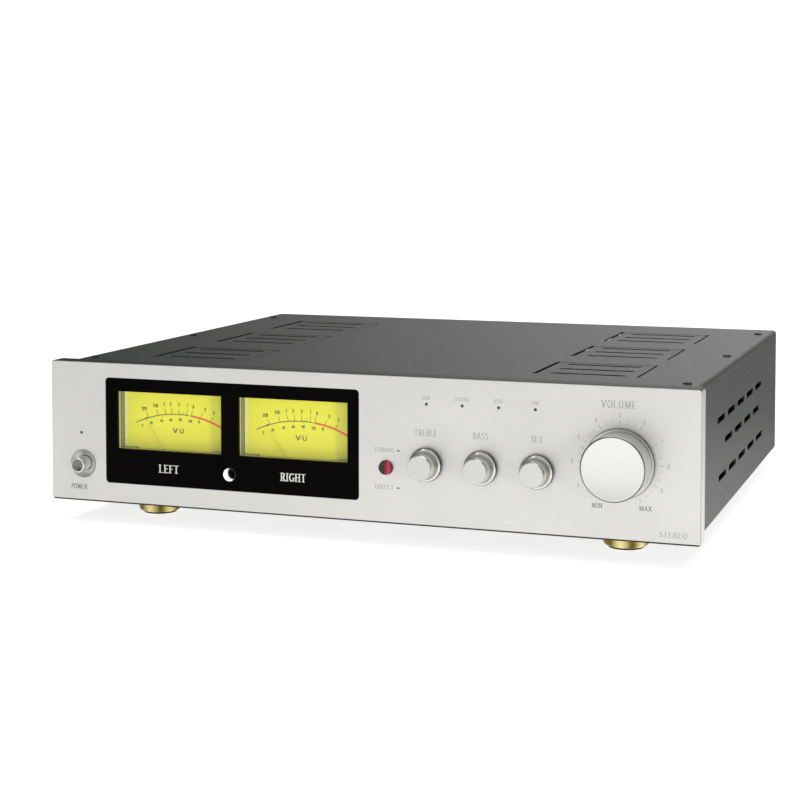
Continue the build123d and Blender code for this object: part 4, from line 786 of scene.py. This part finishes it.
# ---------------------------------------------------------------- rear print
REAR_PEN = {"wide": 0.16, "thin": 0.12, "serif": False}
BOLD_PEN = {"wide": 0.16, "thin": 0.14, "serif": False}
SIGN_PEN = {"wide": 0.14, "thin": 0.14, "serif": False}
rear = []
jacks = [(low + high) / 2 for low, high in islands("rca_sleeves")]
columns = sorted({round(jack.x, 4) for jack in jacks}, reverse=True)
top_jack, low_jack = max(jack.z for jack in jacks), min(jack.z for jack in jacks)
for x, text in zip(columns, ("OUT", "LINE", "VCD", "CD/DVD", "AUX")):
    rear += words(text, (-x, top_jack + 9.0 * MM), 2.4, **REAR_PEN)
for z, text in ((top_jack, "L"), (low_jack, "R")):
    rear += words(text, (-columns[0] - 9.5 * MM, z), 3.0, **BOLD_PEN)
posts = [middle(f"post_cap_{n}") for n in range(1, 5)]
for post, text in zip(posts, ("+", "-", "+", "-")):
    rear += words(text, (-post.x, post.z - 14.0 * MM), 3.6, **SIGN_PEN)
for first, second, text in ((0, 1, "RIGHT"), (2, 3, "LEFT")):
    place = (-(posts[first].x + posts[second].x) / 2, posts[first].z + 14.5 * MM)
    rear += words(text, place, 3.0, **REAR_PEN)
place = (-(posts[0].x + posts[3].x) / 2, posts[0].z + 22.0 * MM)
rear += words("SPEAKERS", place, 3.4, **REAR_PEN)
inlet = middle("iec_inlet")
rear += words("MAINS", (-inlet.x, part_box("iec_inlet")[1].z + 5.0 * MM), 3.0, **REAR_PEN)
printed("rear_lettering", rear, REAR_Y, WHITE_INK, facing=1)


# ---------------------------------------------------------------- floor, camera and light
def floor_paint():
    """Matt white paint that looks white, and in reflections glows less to the left and behind."""
    finish = Finish("floor_paint")
    place = finish.axes(finish.places.outputs["Object"])
    finish.colour(finish.ramp(finish.noise(300.0), [(0.3, (0.59, 0.59, 0.59)), (0.7, (0.61, 0.61, 0.61))]))
    finish.rough(finish.spread(finish.noise(40.0), 0.65, 0.75))
    finish.bump(finish.noise(3.0), 0.01)
    rightward = finish.between(place["X"], -0.50, 0.10)
    sideways = finish.math("ADD", finish.math("MULTIPLY", rightward, 0.30), 0.48)
    forward = finish.between(place["Y"], 0.45, -0.05)
    spill = finish.math("MULTIPLY", sideways, forward)
    seen = finish.add("ShaderNodeLightPath").outputs["Is Camera Ray"]
    strength = finish.math("MAXIMUM", spill, finish.math("MULTIPLY", seen, 0.80))
    finish.link(strength, finish.shader.inputs["Emission Strength"])
    finish.set(Emission_Color=(1, 1, 1, 1), Specular_IOR_Level=0.1)
    return finish.material


def floor():
    """Pale seamless floor."""
    mesh = bpy.data.meshes.new("floor")
    half = 14.0
    corners = [(-half, -half, 0), (half, -half, 0), (half, half, 0), (-half, half, 0)]
    mesh.from_pydata(corners, [], [(0, 1, 2, 3)])
    mesh.materials.append(floor_paint())
    slab = bpy.data.objects.new("floor", mesh)
    bpy.context.scene.collection.objects.link(slab)


def camera():
    """Photographer's view from the front right and above, tilted little so that uprights stay parallel."""
    lens = bpy.data.cameras.new("camera")
    lens.lens = 78.81
    lens.sensor_width = 36.0
    lens.shift_y = -0.1985
    lens.clip_end = 100.0
    azimuth, tilt = math.radians(19.51), math.radians(3.0)
    level = math.cos(tilt)
    away = Vector((math.sin(azimuth) * level, -math.cos(azimuth) * level, math.sin(tilt)))
    viewer = bpy.data.objects.new("camera", lens)
    viewer.location = Vector((386.6, -1190.6, 245.1)) * MM
    viewer.rotation_euler = (-away).to_track_quat("-Z", "Y").to_euler()
    bpy.context.scene.collection.objects.link(viewer)
    bpy.context.scene.camera = viewer


def softbox(name, place, aim, width, height, power, mirrored=True):
    """Soft rectangular light at place, turned to aim; polished parts show it only if it is mirrored."""
    light = bpy.data.lights.new(name, "AREA")
    light.shape = "RECTANGLE"
    light.size, light.size_y = width, height
    light.energy = power
    lamp = bpy.data.objects.new(name, light)
    lamp.location = place
    lamp.rotation_euler = (Vector(aim) - Vector(place)).to_track_quat("-Z", "Y").to_euler()
    lamp.visible_glossy = mirrored
    bpy.context.scene.collection.objects.link(lamp)


# brightness of the studio walls, from -1 at the left to 1 at the right
BACK_WALL = [(-0.6, 0.02), (-0.52, 0.03), (-0.40, 0.32), (-0.25, 0.75), (-0.10, 1.15), (0.1, 0.80),
             (0.35, 0.20), (0.88, 0.12), (1.0, 0.6)]
FRONT_WALL = [(-0.9, 0.22), (-0.50, 0.26), (-0.39, 1.5), (-0.30, 0.40), (0.1, 0.50), (0.5, 0.62),
              (0.88, 0.40), (1.0, 1.6)]


def studio_ramp(tree, source, stops):
    """Brightness read off a ramp over one component of the direction, mapped from -1..1."""
    place = tree.nodes.new("ShaderNodeMapRange")
    place.inputs["From Min"].default_value = -1.0
    tree.links.new(source, place.inputs["Value"])
    ramp = tree.nodes.new("ShaderNodeValToRGB")
    elements = ramp.color_ramp.elements
    for element, (at, level) in zip(elements, (stops[0], stops[-1])):
        element.position, element.color = (at + 1) / 2, (level, level, level, 1)
    for at, level in stops[1:-1]:
        elements.new((at + 1) / 2).color = (level, level, level, 1)
    tree.links.new(place.outputs["Result"], ramp.inputs["Fac"])
    return ramp.outputs["Color"]


def surroundings():
    """Studio room: a white backdrop, soft walls in front and dimmer, uneven ones behind."""
    world = bpy.data.worlds.new("studio")
    bpy.context.scene.world = world
    world.use_nodes = True
    tree = world.node_tree
    places = tree.nodes.new("ShaderNodeTexCoord")
    split = tree.nodes.new("ShaderNodeSeparateXYZ")
    tree.links.new(places.outputs["Generated"], split.inputs["Vector"])
    behind = studio_ramp(tree, split.outputs["X"], BACK_WALL)
    before = studio_ramp(tree, split.outputs["X"], FRONT_WALL)
    depth = studio_ramp(tree, split.outputs["Y"], [(-0.25, 0.0), (0.25, 1.0)])
    walls = tree.nodes.new("ShaderNodeMix")
    walls.data_type = "RGBA"
    tree.links.new(depth, walls.inputs["Factor"])
    tree.links.new(before, walls.inputs[6])
    tree.links.new(behind, walls.inputs[7])
    backdrop = tree.nodes.new("ShaderNodeMix")
    backdrop.data_type = "RGBA"
    backdrop.inputs[7].default_value = (1.1, 1.1, 1.1, 1)
    tree.links.new(tree.nodes.new("ShaderNodeLightPath").outputs["Is Camera Ray"], backdrop.inputs["Factor"])
    tree.links.new(walls.outputs[2], backdrop.inputs[6])
    tree.links.new(backdrop.outputs[2], tree.nodes["Background"].inputs["Color"])


floor()
camera()
surroundings()
softbox("key", (2.3, -2.25, 0.30), (0, -0.15, 0.06), 0.26, 0.26, 36, mirrored=False)
softbox("top", (0.0, 0.3, 2.6), (0, 0, 0), 3.0, 3.0, 28)
bpy.context.scene.view_settings.view_transform = "Standard"
